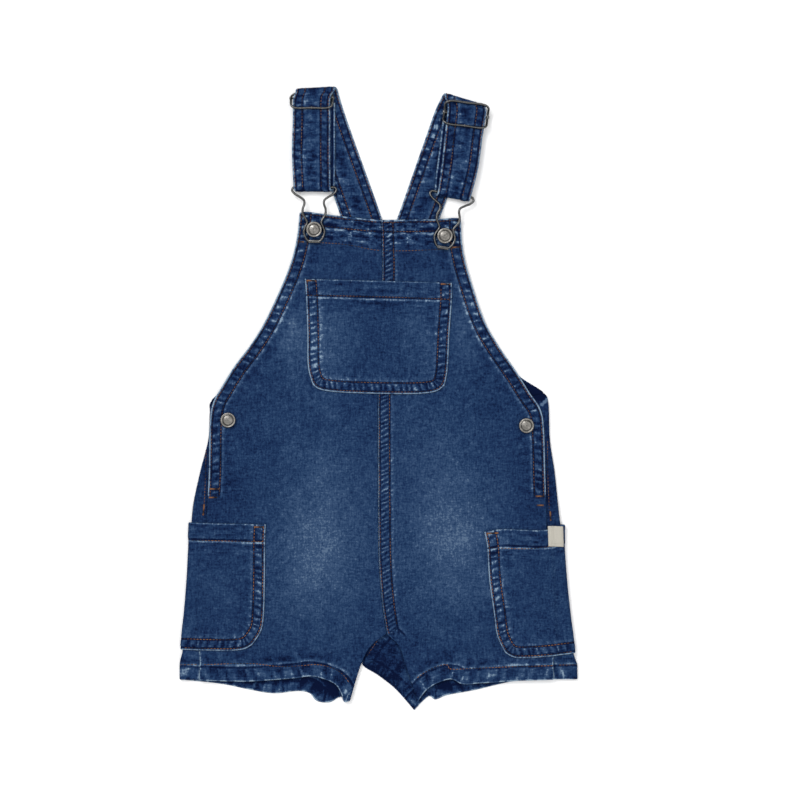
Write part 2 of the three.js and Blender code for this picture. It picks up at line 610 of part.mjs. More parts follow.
// Slider: a frame of wire with a bar across its middle, under the strap's front run
const SLIDER_LEFT = { x: -53.4, y: 240.4, turn: 0 };
const SLIDER_RIGHT = { x: 70.0, y: 227.2, turn: -0.125 };
const BAR_Z = 3.8;
const OVER_Z = 8.8;
const SLIDER_FRAME_LEFT = [
  [-13.0, -8.2, OVER_Z], [0, -8.2, OVER_Z], [12.6, -8.2, OVER_Z], [16.0, -6.4, 8.4], [16.5, -2.2, 6.9],
  [16.5, 0.2, 4.9], [16.3, 2.2, 3.9], [15.2, 4.4, 3.7], [11.0, 5.4, 3.7], [0, 4.9, 3.7], [-9.0, 4.5, 3.7],
  [-14.0, 3.4, 3.7], [-16.3, 1.6, 4.2], [-16.7, -2.2, 6.9], [-16.2, -6.4, 8.4],
];
const SLIDER_FRAME_RIGHT = [
  [-13.6, -9.4, OVER_Z], [0, -9.4, OVER_Z], [13.6, -9.4, OVER_Z], [17.0, -7.6, 8.1], [17.4, -3.0, 5.6],
  [17.4, 0, 4.7], [17.4, 3.0, 5.6], [17.0, 7.2, 8.6], [13.6, 9.0, OVER_Z], [0, 9.0, OVER_Z],
  [-13.6, 9.0, OVER_Z], [-17.0, 7.2, 8.6], [-17.4, 3.0, 5.6], [-17.4, 0, 4.7], [-17.4, -3.0, 5.6],
  [-17.0, -7.6, 8.1],
];

function solidOf(geometry) {
  const bare = geometry.clone();
  bare.deleteAttribute('normal');
  bare.deleteAttribute('uv');
  const merged = mergeVertices(bare, 1e-4);
  return new wasm.Manifold(new wasm.Mesh({
    numProp: 3,
    vertProperties: new Float32Array(merged.attributes.position.array),
    triVerts: new Uint32Array(merged.index.array),
  }));
}

function geometryOf(solid) {
  const mesh = solid.getMesh();
  const geometry = new THREE.BufferGeometry();
  geometry.setAttribute('position', new THREE.BufferAttribute(new Float32Array(mesh.vertProperties), 3));
  geometry.setIndex(new THREE.BufferAttribute(new Uint32Array(mesh.triVerts), 1));
  return geometry;
}

function slider(frame, place, barHalf) {
  const bar = new THREE.CylinderGeometry(WIRE_RADIUS, WIRE_RADIUS, 2 * barHalf, 8);
  bar.rotateZ(Math.PI / 2 + place.turn);
  bar.translate(place.x, place.y, BAR_Z);
  return geometryOf(solidOf(wireLoop(placedRoute(frame, place), 44)).add(solidOf(bar)));
}

// Shank button: a foot on the cloth, a neck, and a domed head with a rolled rim
function button(place, radius, band, neck) {
  const profile = [
    [0, 0], [3.1, 0], [3.1, neck], [radius - 0.6, neck], [radius, neck + 0.7], [radius - 0.5, neck + 1.5],
    [radius - 1.5, neck + 1.3], [radius * 0.45, neck + 1.9], [0, neck + 2.1],
  ];
  const geometry = new THREE.LatheGeometry(profile.map(([r, h]) => new THREE.Vector2(r, h)), 18);
  geometry.rotateX(Math.PI / 2);
  geometry.translate(place.x, place.y, clothUnder(place) + band + GAP);
  return geometry;
}

const SIDE_BUTTON_LEFT = { x: -120.4, y: -17.3 };
const SIDE_BUTTON_RIGHT = { x: 118.3, y: -21.7 };
const BIB_NECK = 2.9;
const SIDE_NECK = 1.2;

const PARTS = [
  ['front_left', DENIM, frontPanel(FRONT_LEFT, { top: BIB_TOP_LEFT, foot: HEM_LEFT }, false)],
  ['front_right', DENIM, frontPanel(FRONT_RIGHT, { top: BIB_TOP_RIGHT, foot: HEM_RIGHT }, true)],
  ['back_left', DENIM_DARK, backPanel(BACK_LEFT, FRONT_LEFT, { foot: [...BACK_HEM_LEFT].reverse() }, -1)],
  ['back_right', DENIM_DARK, backPanel(BACK_RIGHT, FRONT_RIGHT, { foot: [...BACK_HEM_RIGHT].reverse() }, 1)],
  ['bib_pocket', DENIM, bibPocket()],
  ['side_pocket_left', DENIM, sidePocket(POCKET_LEFT, FRONT_LEFT, { foot: POCKET_LEFT_FOOT, fade: 1.6 }, -1)],
  ['side_pocket_right', DENIM, sidePocket(POCKET_RIGHT, FRONT_RIGHT,
    { top: POCKET_TOP_RIGHT, foot: POCKET_RIGHT_FOOT, fade: 1.6 }, 1)],
  ['tag', LABEL, tag()],
  ['strap_left', DENIM, strap(STRAP_LEFT)],
  ['strap_right', DENIM, strap(STRAP_RIGHT)],
  ['clip_left', NICKEL, clip(LEFT_BUTTON)],
  ['clip_right', NICKEL, clip(RIGHT_BUTTON)],
  ['slider_left', NICKEL, slider(SLIDER_FRAME_LEFT, SLIDER_LEFT, 17.6)],
  ['slider_right', NICKEL, slider(SLIDER_FRAME_RIGHT, SLIDER_RIGHT, 18.4)],
  ['bib_button_left', SILVER, button(LEFT_BUTTON, BUTTON_RADIUS, BAND_RISE, BIB_NECK)],
  ['bib_button_right', SILVER, button(RIGHT_BUTTON, BUTTON_RADIUS, BAND_RISE, BIB_NECK)],
  ['side_button_left', SILVER, button(SIDE_BUTTON_LEFT, SIDE_BUTTON_RADIUS, 0, SIDE_NECK)],
  ['side_button_right', SILVER, button(SIDE_BUTTON_RIGHT, SIDE_BUTTON_RADIUS, 0, SIDE_NECK)],
];

// Highest cloth under a button's foot
function clothUnder({ x, y }) {
  return Math.max(...[-3, 0, 3].flatMap((dx) => [-3, 0, 3].map((dy) => frontTop(x + dx, y + dy))));
}

const shortalls = new THREE.Group();
for (const [name, finish, geometry] of PARTS) {
  const material = new THREE.MeshStandardMaterial({ ...finish, side: THREE.DoubleSide });
  const mesh = new THREE.Mesh(geometry, material);
  mesh.name = name;
  shortalls.add(mesh);
}

// The origin is the middle of the footprint, on the surface
const bounds = new THREE.Box3().setFromObject(shortalls, true);
shortalls.position.set(-(bounds.min.x + bounds.max.x) / 2, -(bounds.min.y + bounds.max.y) / 2, -bounds.min.z);
shortalls.updateMatrixWorld(true);

export default shortalls;
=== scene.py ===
"""Toddler's denim shortalls laid flat, face up: the cloth, stitching and metal trims, and a plain stage."""

import math

import bpy
import numpy as np
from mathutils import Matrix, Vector
from mathutils.bvhtree import BVHTree


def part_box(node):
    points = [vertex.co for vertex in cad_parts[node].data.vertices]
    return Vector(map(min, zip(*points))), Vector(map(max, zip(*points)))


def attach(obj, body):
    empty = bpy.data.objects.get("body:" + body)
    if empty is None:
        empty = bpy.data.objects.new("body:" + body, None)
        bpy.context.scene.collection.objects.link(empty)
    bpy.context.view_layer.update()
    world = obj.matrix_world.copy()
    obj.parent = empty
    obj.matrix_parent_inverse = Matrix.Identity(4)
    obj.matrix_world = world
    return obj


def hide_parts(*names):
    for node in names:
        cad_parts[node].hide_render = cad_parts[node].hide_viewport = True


bl_info = {
    "name": "Denim Shortalls",
    "version": (1, 0, 0),
    "blender": (4, 5, 0),
    "location": "3D View > Sidebar > Shortalls",
    "description": "Builds a toddler's denim shortalls, laid flat, with seams, stitching and strap hardware",
    "category": "Object",
}

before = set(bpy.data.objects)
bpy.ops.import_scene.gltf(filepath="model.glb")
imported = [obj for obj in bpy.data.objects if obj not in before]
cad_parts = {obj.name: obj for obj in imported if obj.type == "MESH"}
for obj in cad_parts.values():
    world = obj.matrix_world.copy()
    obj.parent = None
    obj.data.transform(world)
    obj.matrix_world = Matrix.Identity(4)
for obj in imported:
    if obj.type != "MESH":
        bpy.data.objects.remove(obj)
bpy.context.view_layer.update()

# Tables below are in millimetres: +X to the right of the front as seen, +Y to the straps, +Z up
MM = 0.001
SHIFT = (0.025, 0.103, 0.0)
SIDES = ((-1, "left"), (1, "right"))

# Gap between layers, then breadth of the front's lap over the wrapped sides, flat and sloping
GAP = 0.3
LAP_FLAT, LAP_SLOPE = 12.0, 18.0
# Room under the front, reach of the back's edge under it, the wrap from which that edge leaves the
# surface, and breadth of the armhole's rim
FRONT_CLEARANCE = 2.6
BACK_TUCK = 9.0
EDGE_LIES_FLAT = 0.3
ARMHOLE_RIM = 7.0
# Where a side pocket steps onto the front, the step's breadth, and the x that its back half reaches to
POCKET_STEP_START, POCKET_STEP = 6.0, 4.2
POCKET_UNDER = 118.0
# The row where the inseam turns outwards, and how many rows an end's curve reaches into a panel
CROTCH_ROW = 13
END_FADE, POCKET_FADE = 2.5, 1.6
# Where raised bands end, measured from their edge: last full height, then none
BIB_BAND, HEM_BAND = (23.0, 24.6), (12.4, 13.6)
BIB_POCKET_BAND, POCKET_BAND = (12.8, 14.0), (13.6, 14.8)
# Faces of these panels against the plain cell
BACK_CELLS, BIB_POCKET_CELLS = 1.35, 0.9
# Seams, in mm: slope of a pucker's sides, and spread of the puff beyond a seam and of a stitch channel
PUFF_SLOPE, BEYOND_SPREAD, CHANNEL_SPREAD = 1.8, 1.6, 0.75
# Points whose distances to a line are worked out at once
BLOCK = 4000
# Steps of a half turn of cloth
TURN_STEPS = 12
# How far a sheet's faces close at its edge, its edge cells, and where even cells begin, in edge rolls
EDGE_PINCH, EDGE_STEPS, EVEN_FROM = 0.38, (0, 0.35, 0.9), 1.6
# From one pucker to the next, by seam
EDGE_PERIOD, CENTRE_PERIOD, TOP_PERIOD, HEM_PERIOD = 6.6, 3.9, 3.8, 11.0
FRONT_SIDE_PERIOD, BACK_SIDE_PERIOD, STRAP_PERIOD = 5.0, 6.0, 6.4
BIB_POCKET_PERIOD, SIDE_POCKET_PERIOD, POCKET_TOP_PERIOD = 5.2, 5.6, 9.0
# Heights between which seams of the panels set in or end
OPENING_FOOT, CENTRE_FOOT = (-81, -75), (-196, -184)
FRONT_SIDE_FOOT, BACK_SIDE_FOOT = (-206, -198), (-204, -198)
# Height of the puckers and depth of the stitch channels, by seam, as shares of the full ones
PANEL_PUCKERS = (
    ("run_edge", 1.0, 1.0), ("run_top", 0.5, 1.0), ("run_centre", 0.6, 1.0), ("run_hem", 0.7, 0.6),
)
POCKET_PUCKERS = (("run_edge", 1.0, 1.0), ("run_top", 0.5, 0.6))
# How high the layers over a side pocket's back half are lifted, and where
LIFT = 1.5
BACK_LIFT = {"across": (104, 116), "top": (-74, -88), "bottom": (-217, -206)}
FRONT_LIFT = {"across": (92, 114), "top": (-58, -84), "bottom": (-225, -208)}

# Panel edges, from the bib to the hem: outer x and y, then centre or inseam x and y

FRONT_LEFT = (
    (-63.2, 148.8, 2.2, 143), (-65.9, 126, 2.8, 121.5), (-73, 101.3, 3.1, 99),
    (-88.8, 66.1, 1.4, 64), (-101.1, 45, 0.6, 43), (-115.2, 26.2, 0, 24), (-125.1, 10.2, -0.3, 8),
    (-132.7, -3.8, -0.4, -6), (-135.2, -22, -0.4, -26), (-135.9, -60, -0.3, -60),
    (-137.6, -98, -0.1, -96), (-139.4, -136, 0.6, -134), (-141.2, -169.2, 3.1, -164.8),
    (-142, -188, 6.6, -188.4), (-142.7, -201, -6, -198.4), (-143, -213.2, -14, -213.4),
    (-143.2, -225.8, -22.8, -242.4),
)
FRONT_RIGHT = (
    (66, 144, 2.2, 143), (67.3, 122, 2.8, 121.5), (72.3, 100, 3.1, 99), (84.2, 64, 1.4, 64),
    (96, 42.5, 0.6, 43), (110.4, 21.5, 0, 24), (121.4, 4, -0.3, 8), (129.6, -8.4, -0.4, -6),
    (132.4, -24, -0.4, -26), (133.5, -60, -0.3, -60), (134.5, -98, -0.1, -96),
    (136, -136, 0.6, -134), (137.8, -169.2, 3.1, -164.8), (138.8, -188, 6.6, -188.4),
    (139.4, -200, 16.4, -199), (139.8, -212, 22, -215), (140, -225.2, 31.2, -243.4),
)
BIB_TOP_LEFT = (
    (-63.2, 148.8), (-58.5, 149.6), (-44, 147.9), (-24, 145.4), (2.2, 143),
)
BIB_TOP_RIGHT = (
    (66, 144), (62, 144.6), (44, 143.7), (2.2, 143),
)
HEM_LEFT = (
    (-143.2, -225.8), (-105.6, -226.8), (-86, -225.6), (-66, -224), (-53.6, -222.6),
    (-42, -225.4), (-34, -229.6), (-29.8, -236.6), (-27.4, -243.2), (-22.8, -242.4),
)
HEM_RIGHT = (
    (140, -225.2), (108.4, -226.4), (81.2, -228.2), (66, -228.6), (58.8, -225), (48, -227.6),
    (39.6, -232.6), (34.6, -238), (31.2, -243.4),
)
# Back panels: fold x and y, inner x and y, and how far the side wraps round
BACK_LEFT = (
    (-25, 127.8, 5.4, 127.8, 0), (-32, 112, 3.2, 110, 0), (-42, 88, 1.8, 92, 0),
    (-64, 55.6, 1, 70, 0), (-90, 30.8, 0.4, 50, 0), (-115, 13.4, 0, 34, 0),
    (-133.6, -1, -0.2, 14, 0.3), (-135.4, -12, -0.3, -6, 1), (-136.6, -33, -0.4, -33, 1),
    (-143.4, -60, -0.4, -60, 1), (-149, -88, -0.3, -88, 1), (-150.8, -120, 0, -120, 1),
    (-153, -152, 1, -152, 1), (-156, -184, 4, -184, 1), (-157, -201.5, -6.6, -197.6, 1),
    (-159.4, -212, -14.4, -212, 1), (-159.6, -225.4, -22.9, -241.6, 1),
)
BACK_RIGHT = (
    (42, 127.8, 5.9, 127.8, 0), (50, 108, 3.7, 110, 0), (58, 88, 2.3, 92, 0),
    (72, 61, 1.5, 70, 0), (92.4, 36.4, 0.9, 50, 0), (113, 17.8, 0.5, 34, 0),
    (131.6, 5.4, 0.3, 14, 0.3), (136.2, -4, 0.2, -6, 1), (137.4, -33, 0.1, -33, 1),
    (141.4, -60, 0.1, -60, 1), (144.2, -88, 0.2, -88, 1), (147.7, -120, 0.5, -120, 1),
    (150.1, -152, 1.5, -152, 1), (153.9, -184, 4.6, -184, 1), (154.9, -193.5, -5, -195, 1),
    (156, -203.5, -11.8, -206.5, 1), (159.2, -213, -12.2, -214.4, 1), (159.4, -217, 0.2, -222.2, 1),
    (159.5, -221, 13.4, -232.8, 1), (159.6, -225, 28.6, -250, 1),
)
BACK_HEM_LEFT = (
    (-22.9, -241.6), (-31, -239.4), (-39, -243.6), (-50, -242.4), (-55, -236.6), (-63, -234.6),
    (-84.4, -236.4), (-105.6, -233), (-124, -229.2), (-159.6, -225.4),
)
BACK_HEM_RIGHT = (
    (28.6, -250), (35, -243), (41, -238.6), (45, -241.4), (54, -238.2), (77.2, -233.8),
    (96.4, -229.2), (112, -226.4), (159.6, -225),
)
# Patch pockets: outer x and y, inner x and y, then the curve of each foot
BIB_POCKET = (
    (-59, 95.8, 58.6, 92.6), (-57.9, 80, 58.6, 79), (-57, 52.6, 56.6, 50), (-56.6, 26, 55.3, 24),
    (-52.6, 10.8, 52.8, 10.4),
)
BIB_POCKET_FOOT = (
    (-52.6, 10.8), (-47.8, 7.6), (-38, 5.6), (0.7, 3.8), (38, 4.2), (47.6, 6.4), (52.8, 10.4),
)
BIB_POCKET_ENDS = {"foot": BIB_POCKET_FOOT, "fade": POCKET_FADE}
POCKET_LEFT = (
    (-151.8, -99.2, -90.2, -100.8), (-152.4, -113.4, -90.9, -114.4), (-153.8, -142, -91, -142),
    (-156, -170, -91.8, -172), (-157.8, -186, -94, -186), (-158.8, -201, -101.2, -197.2),
)
POCKET_LEFT_FOOT = (
    (-158.8, -201), (-138, -201.4), (-116.3, -201.6), (-106.6, -200.2), (-101.2, -197.2),
)
POCKET_RIGHT = (
    (149, -101, 84.6, -106.8), (149.2, -117.6, 87, -119), (151.2, -146, 88.6, -145),
    (154.2, -174, 92.4, -172), (156.2, -189, 95, -190), (157.9, -203.8, 101.4, -203.6),
)
POCKET_RIGHT_FOOT = (
    (157.9, -203.8), (138.9, -206), (120.2, -207.4), (108, -207), (101.4, -203.6),
)
POCKET_TOP_RIGHT = (
    (149, -101), (134.2, -105), (97, -104.6), (84.6, -106.8),
)
# Soft folds: from x and y, to x and y, breadth and height
FRONT_FOLDS = (
    (-118, -40, -60, -86, 13, 0.8), (-112, -66, -48, -120, 12, -0.7),
    (112, -44, 62, -92, 13, 0.8), (108, -72, 46, -122, 12, -0.7), (-84, -150, -18, -186, 12, 0.9),
    (-72, -176, -24, -204, 9, -0.8), (76, -150, 24, -184, 12, 0.9), (70, -180, 34, -206, 9, -0.8),
    (-40, -60, -30, -160, 26, 0.7), (52, -60, 40, -160, 26, 0.7), (-60, 110, 0, 106, 7, 0.35),
    (4, 112, 62, 108, 7, 0.35),
)
BACK_FOLDS = (
    (-10, -198, 12, -226, 5, 1.6), (-2, -196, 24, -232, 4, 0.9), (8, -206, 30, -240, 4, 1.4),
)
# Bent wire of the hardware: across, along and height
CLIP_HALF = (
    (0, 33.9, 4.45), (12, 33.9, 4.45), (16.6, 33.8, 4.5), (17.7, 31.6, 4.8), (15.4, 28.6, 5.2),
    (11.2, 26, 5.7), (8.1, 23.4, 6.1), (7.8, 20.6, 6.3), (9.1, 16.6, 6.4), (9, 12.4, 6.5),
    (6.8, 8.6, 6.5), (5.6, 6, 6.5), (6.8, 2.8, 6.5), (8.2, -1.2, 6.5), (7.2, -5.6, 6.5),
    (4.4, -9.2, 6.5), (0, -9.7, 6.5),
)
SLIDER_FRAME_LEFT = (
    (-13, -8.2, 8.8), (0, -8.2, 8.8), (12.6, -8.2, 8.8), (16, -6.4, 8.4), (16.5, -2.2, 6.9),
    (16.5, 0.2, 4.9), (16.3, 2.2, 3.9), (15.2, 4.4, 3.7), (11, 5.4, 3.7), (0, 4.9, 3.7),
    (-9, 4.5, 3.7), (-14, 3.4, 3.7), (-16.3, 1.6, 4.2), (-16.7, -2.2, 6.9), (-16.2, -6.4, 8.4),
)
SLIDER_FRAME_RIGHT = (
    (-13.6, -9.4, 8.8), (0, -9.4, 8.8), (13.6, -9.4, 8.8), (17, -7.6, 8.1), (17.4, -3, 5.6),
    (17.4, 0, 4.7), (17.4, 3, 5.6), (17, 7.2, 8.6), (13.6, 9, 8.8), (0, 9, 8.8),
    (-13.6, 9, 8.8), (-17, 7.2, 8.6), (-17.4, 3, 5.6), (-17.4, 0, 4.7), (-17.4, -3, 5.6),
    (-17, -7.6, 8.1),
)

# Smaller creases of the visible cloth, in the same form
FRONT_CREASES = (
    (-100, -30, -76, -52, 6, 0.35), (104, -34, 78, -58, 6, 0.35), (-16, -176, -52, -196, 6, 0.5),
    (18, -178, 56, -198, 6, 0.5), (-96, 20, -70, 34, 5, 0.25), (88, 16, 66, 30, 5, 0.25),
    (-30, -196, -70, -206, 4, -0.35), (34, -200, 80, -208, 4, -0.3),
)

# Straps: left x and y, right x and y, height of the band's middle
STRAP_LEFT = {
    "back": (
        (-24.7, 128.2, 8.0, 128.2, 1.1), (-33.4, 154.8, -1.0, 154.8, 1.1),
        (-42.8, 181.2, -10.6, 181.6, 1.1), (-52.2, 206.4, -19.9, 207.4, 1.1),
        (-60.6, 229.0, -28.4, 232.0, 1.1), (-65.4, 244.6, -32.6, 246.2, 1.1),
    ),
    "front": (
        (-66.4, 244.4, -35.2, 246.0, 6.3), (-68.4, 239.0, -38.4, 240.0, 6.3),
        (-68.6, 222.0, -38.5, 222.0, 6.3), (-69.3, 196.0, -38.6, 196.0, 6.5),
        (-68.0, 169.0, -38.4, 169.0, 6.8),
    ),
    "again": (
        (-66.0, 169.0, -35.4, 169.0, 2.1), (-65.6, 181.0, -34.9, 181.0, 3.7),
        (-65.4, 210.0, -34.8, 210.0, 3.7), (-65.4, 237.0, -34.8, 237.0, 3.7),
    ),
}
STRAP_RIGHT = {
    "back": (
        (8.8, 128.2, 42.0, 128.2, 1.1), (17.0, 150.0, 50.6, 148.6, 1.1),
        (27.2, 179.0, 60.6, 176.0, 1.1), (37.4, 208.0, 70.6, 203.0, 1.1),
        (45.4, 230.6, 79.0, 223.4, 1.1), (50.6, 241.6, 84.4, 232.0, 1.1),
    ),
    "front": (
        (53.0, 240.8, 85.4, 231.2, 6.3), (55.2, 233.0, 86.4, 229.6, 6.3),
        (53.2, 212.6, 83.4, 210.0, 6.3), (50.6, 187.4, 79.8, 184.0, 6.5),
        (47.4, 165.5, 73.8, 160.8, 6.8),
    ),
    "again": (
        (44.9, 165.9, 72.6, 161.0, 2.1), (45.8, 178.0, 75.6, 173.4, 3.7),
        (48.6, 199.6, 78.4, 196.4, 3.7), (51.6, 225.2, 81.6, 222.0, 3.7),
    ),
}

# Hardware: where each piece lies and how far it is turned
BIB_BUTTONS = (((-51.5, 135.1, 0.0), "left"), ((53.1, 130.1, -0.175), "right"))
SIDE_BUTTONS = (((-120.4, -17.3), "left"), ((118.3, -21.7), "right"))
BIB_NECK, SIDE_NECK = 2.9, 1.2
# Sliders: frame, place, half the bar's length and height of the end blocks
SLIDERS = (
    (SLIDER_FRAME_LEFT, (-53.4, 240.4, 0.0), 16.6, 4.9, "left"),
    (SLIDER_FRAME_RIGHT, (70.0, 227.2, -0.125), 17.4, 4.7, "right"),
)
SLIDER_BAR_Z = 3.8
# The clips' crimped plate: its middle, its size and its bevel
CLIP_PLATE = ((0, -9.5, 6.5), (9.4, 2.6, 1.5), 0.5)
STRAP_WIDTH = 31.0
TAG_BOX = {"left": 135.2, "right": 147.6, "top": -101.8, "bottom": -118.2, "lean": 0.035}

# Soft pale patches where the cloth is washed out, and dark ones: x, y, reach in x and y, strength
FADES = (
    (-48, -128, 36, 54, 0.33), (60, -118, 36, 54, 0.33), (-42, -60, 36, 46, 0.15),
    (48, -56, 36, 46, 0.12), (-70, 52, 12, 34, 0.24), (70, 56, 12, 32, 0.22),
    (-42, 46, 18, 34, 0.26), (36, 50, 20, 34, 0.12), (4, -205, 34, 26, -0.06),
    (-124, -70, 20, 24, -0.08), (124, -70, 20, 24, -0.08), (0, 112, 60, 12, -0.04),
    (-25, -237, 3, 7, 0.28), (-50, -221.5, 12, 1.6, 0.2), (38, -232, 4, 5, 0.2), (104, -219, 50, 7, 0.14),
    (-150, -216, 9, 9, 0.26), (151, -214, 7, 9, 0.12), (-122, -160, 26, 40, 0.04), (118, -160, 26, 40, 0.04),
)
# More of them on the back panels, nearly all painted shade: the dark crotch, the shaded mouths of the legs,
# the gaps beside the front's edges and under its hems, and the armpits; the few pale ones are streaks on
# folded ridges at the left leg's mouth and at the right armpit
BACK_SHADES = (
    (0, -212, 22, 22, -0.2), (-42, -229, 11, 6, -0.45), (-34, -232, 6, 8, -0.8), (-28, -234, 5, 8, -0.3),
    (-31, -235, 1.1, 3.6, 1.3), (-27.6, -233, 0.9, 3, 1.2), (-62, -226, 20, 2.6, -0.42),
    (-100, -227, 26, 2.2, -0.3),
    (54, -230, 16, 4, -0.34), (90, -228, 24, 2.4, -0.3), (36, -236, 5, 6, -0.3), (-134, -86, 10, 24, -0.1),
    (136, -80, 8, 24, -0.1), (135, -50, 3, 38, -0.16), (-137.5, -50, 3, 38, -0.16), (118, 12.5, 6, 5, -0.5),
    (124.5, 7.5, 6, 5.5, -0.8), (130, 2.5, 5, 4.5, -0.9), (135, -0.6, 1.3, 1.2, 1.8),
    (133, -2.6, 1.3, 1.2, 1.6), (131, -4.6, 1.3, 1.2, 1.4), (-133.5, -2, 3, 3.5, -0.5),
)


class ShortallsSizes(bpy.types.PropertyGroup):
    """Sizes of the cloth, the seams and the metal trims"""

    cloth: bpy.props.FloatProperty(
        name="Cloth", description="Thickness of the panels and pockets", default=0.0012, unit="LENGTH"
    )
    strap_cloth: bpy.props.FloatProperty(
        name="Strap cloth", description="Thickness of the straps", default=0.0022, unit="LENGTH"
    )
    fold_radius: bpy.props.FloatProperty(
        name="Side fold", description="Radius of the back's fold at the sides", default=0.0016, unit="LENGTH"
    )
    fell_width: bpy.props.FloatProperty(
        name="Felled seam", description="Width of the centre seam's strip", default=0.009, unit="LENGTH"
    )
    fell_rise: bpy.props.FloatProperty(
        name="Felled rise", description="Height of the centre seam's strip", default=0.0005, unit="LENGTH"
    )
    band_rise: bpy.props.FloatProperty(
        name="Band rise", description="Height of the bib band and hems", default=0.00045, unit="LENGTH"
    )
    pucker: bpy.props.FloatProperty(
        name="Pucker", description="Height of the puckers between two rows", default=0.0004, unit="LENGTH"
    )
    edge_roll: bpy.props.FloatProperty(
        name="Edge roll", description="How far in the cloth's edges are rounded", default=0.001, unit="LENGTH"
    )
    cell: bpy.props.FloatProperty(
        name="Cell", description="Size of the cloth's faces", default=0.0013, unit="LENGTH"
    )
    stitch: bpy.props.FloatProperty(
        name="Stitch", description="Length of one stitch", default=0.0020, unit="LENGTH"
    )
    stitch_pitch: bpy.props.FloatProperty(
        name="Stitch pitch", description="From one stitch to the next", default=0.0026, unit="LENGTH"
    )
    thread: bpy.props.FloatProperty(
        name="Thread", description="Radius of the sewing thread", default=0.0003, unit="LENGTH"
    )
    wire: bpy.props.FloatProperty(
        name="Wire", description="Radius of the clips' and sliders' wire", default=0.00095, unit="LENGTH"
    )
    bib_button: bpy.props.FloatProperty(
        name="Bib button", description="Radius of the bib buttons", default=0.0063, unit="LENGTH"
    )
    side_button: bpy.props.FloatProperty(
        name="Side button", description="Radius of the side buttons", default=0.0061, unit="LENGTH"
    )
    camera_distance: bpy.props.FloatProperty(
        name="Camera distance", description="From the lens to the cloth", default=1.7778, unit="LENGTH"
    )


class ShortallsColours(bpy.types.PropertyGroup):
    """Colours of the denim, the thread and the metal"""

    # Navy is also what the painted shade in the back's crotch and legs' mouths darkens to
    navy: bpy.props.FloatVectorProperty(
        name="Navy", description="Denim in gaps and folds", subtype="COLOR", default=(0.0012, 0.0046, 0.025)
    )
    indigo: bpy.props.FloatVectorProperty(
        name="Indigo", description="Unworn denim", subtype="COLOR", default=(0.0063, 0.0196, 0.065)
    )
    mid: bpy.props.FloatVectorProperty(
        name="Mid blue", description="Lightly worn denim", subtype="COLOR", default=(0.0129, 0.0358, 0.0933)
    )
    faded: bpy.props.FloatVectorProperty(
        name="Faded", description="Washed-out denim", subtype="COLOR", default=(0.0375, 0.0733, 0.1483)
    )
    pale: bpy.props.FloatVectorProperty(
        name="Pale", description="Denim worn down on seams", subtype="COLOR", default=(0.2, 0.283, 0.375)
    )
    thread_rust: bpy.props.FloatVectorProperty(
        name="Rust thread", description="Thread of most rows", subtype="COLOR", default=(0.135, 0.07, 0.044)
    )
    thread_dark: bpy.props.FloatVectorProperty(
        name="Dark thread", description="Worn thread", subtype="COLOR", default=(0.011, 0.0075, 0.0115)
    )
    thread_gold: bpy.props.FloatVectorProperty(
        name="Gold thread", description="Low rows, tacks", subtype="COLOR", default=(0.225, 0.10417, 0.04583)
    )
    label: bpy.props.FloatVectorProperty(
        name="Tag", description="Woven tag", subtype="COLOR", default=(0.55, 0.525, 0.45833)
    )
    nickel: bpy.props.FloatVectorProperty(
        name="Nickel", description="Clips and sliders", subtype="COLOR", default=(0.064, 0.064, 0.064)
    )
    silver: bpy.props.FloatVectorProperty(
        name="Antique silver", description="Buttons", subtype="COLOR", default=(0.155, 0.148, 0.137)
    )


def sizes():
    """Every size in millimetres, by name."""
    group = bpy.context.scene.shortalls_sizes
    return {name: getattr(group, name) / MM for name in ShortallsSizes.__annotations__}


def colour(name):
    return (*getattr(bpy.context.scene.shortalls_colours, name), 1.0)


def rise(x, low, high):
    """0 up to low and 1 from high on, smoothly between."""
    t = np.clip((np.asarray(x, float) - low) / (high - low), 0, 1)
    return t * t * (3 - 2 * t)


def mix(a, b, share):
    return a + (b - a) * share


def at_rows(rows, place):
    """All columns of a table at places between its rows, along one smooth curve."""
    rows = np.asarray(rows, float)
    last = len(rows) - 1
    first = np.minimum(np.floor(place).astype(int), last - 1)
    t = (np.asarray(place) - first)[:, None]
    a, b, c, d = (rows[np.clip(first + k, 0, last)] for k in (-1, 0, 1, 2))
    slope_in = np.where((first == CROTCH_ROW)[:, None], c - b, (c - a) / 2)
    slope_out = np.where((first + 1 == CROTCH_ROW)[:, None], c - b, (d - b) / 2)
    return (
        b + slope_in * t + (3 * (c - b) - 2 * slope_in - slope_out) * t**2
        + (2 * (b - c) + slope_in + slope_out) * t**3
    )


def smooth_line(points, closed=False, steps=10):
    """A dense line on one centripetal curve through the points."""
    points = np.asarray(points, float)
    if closed:
        knots = np.concatenate([points[-1:], points, points[:2]])
    else:
        knots = np.concatenate([2 * points[:1] - points[1:2], points, 2 * points[-1:] - points[-2:-1]])
    line = []
    for a, b, c, d in zip(knots, knots[1:], knots[2:], knots[3:]):
        spans = [math.sqrt(np.linalg.norm(q - p)) for p, q in ((a, b), (b, c), (c, d))]
        t0, t1, t2, t3 = np.concatenate([[0.0], np.cumsum(spans)])
        t = np.linspace(t1, t2, steps, endpoint=False)[:, None]
        first = mix(a, b, (t - t0) / (t1 - t0))
        second = mix(b, c, (t - t1) / (t2 - t1))
        third = mix(c, d, (t - t2) / (t3 - t2))
        early = mix(first, second, (t - t0) / (t2 - t0))
        late = mix(second, third, (t - t1) / (t3 - t1))
        line.append(mix(early, late, (t - t1) / (t2 - t1)))
    return np.concatenate(line if closed else [*line, points[-1:]])


def travelled(line):
    return np.concatenate([[0.0], np.cumsum(np.linalg.norm(np.diff(line, axis=0), axis=1))])


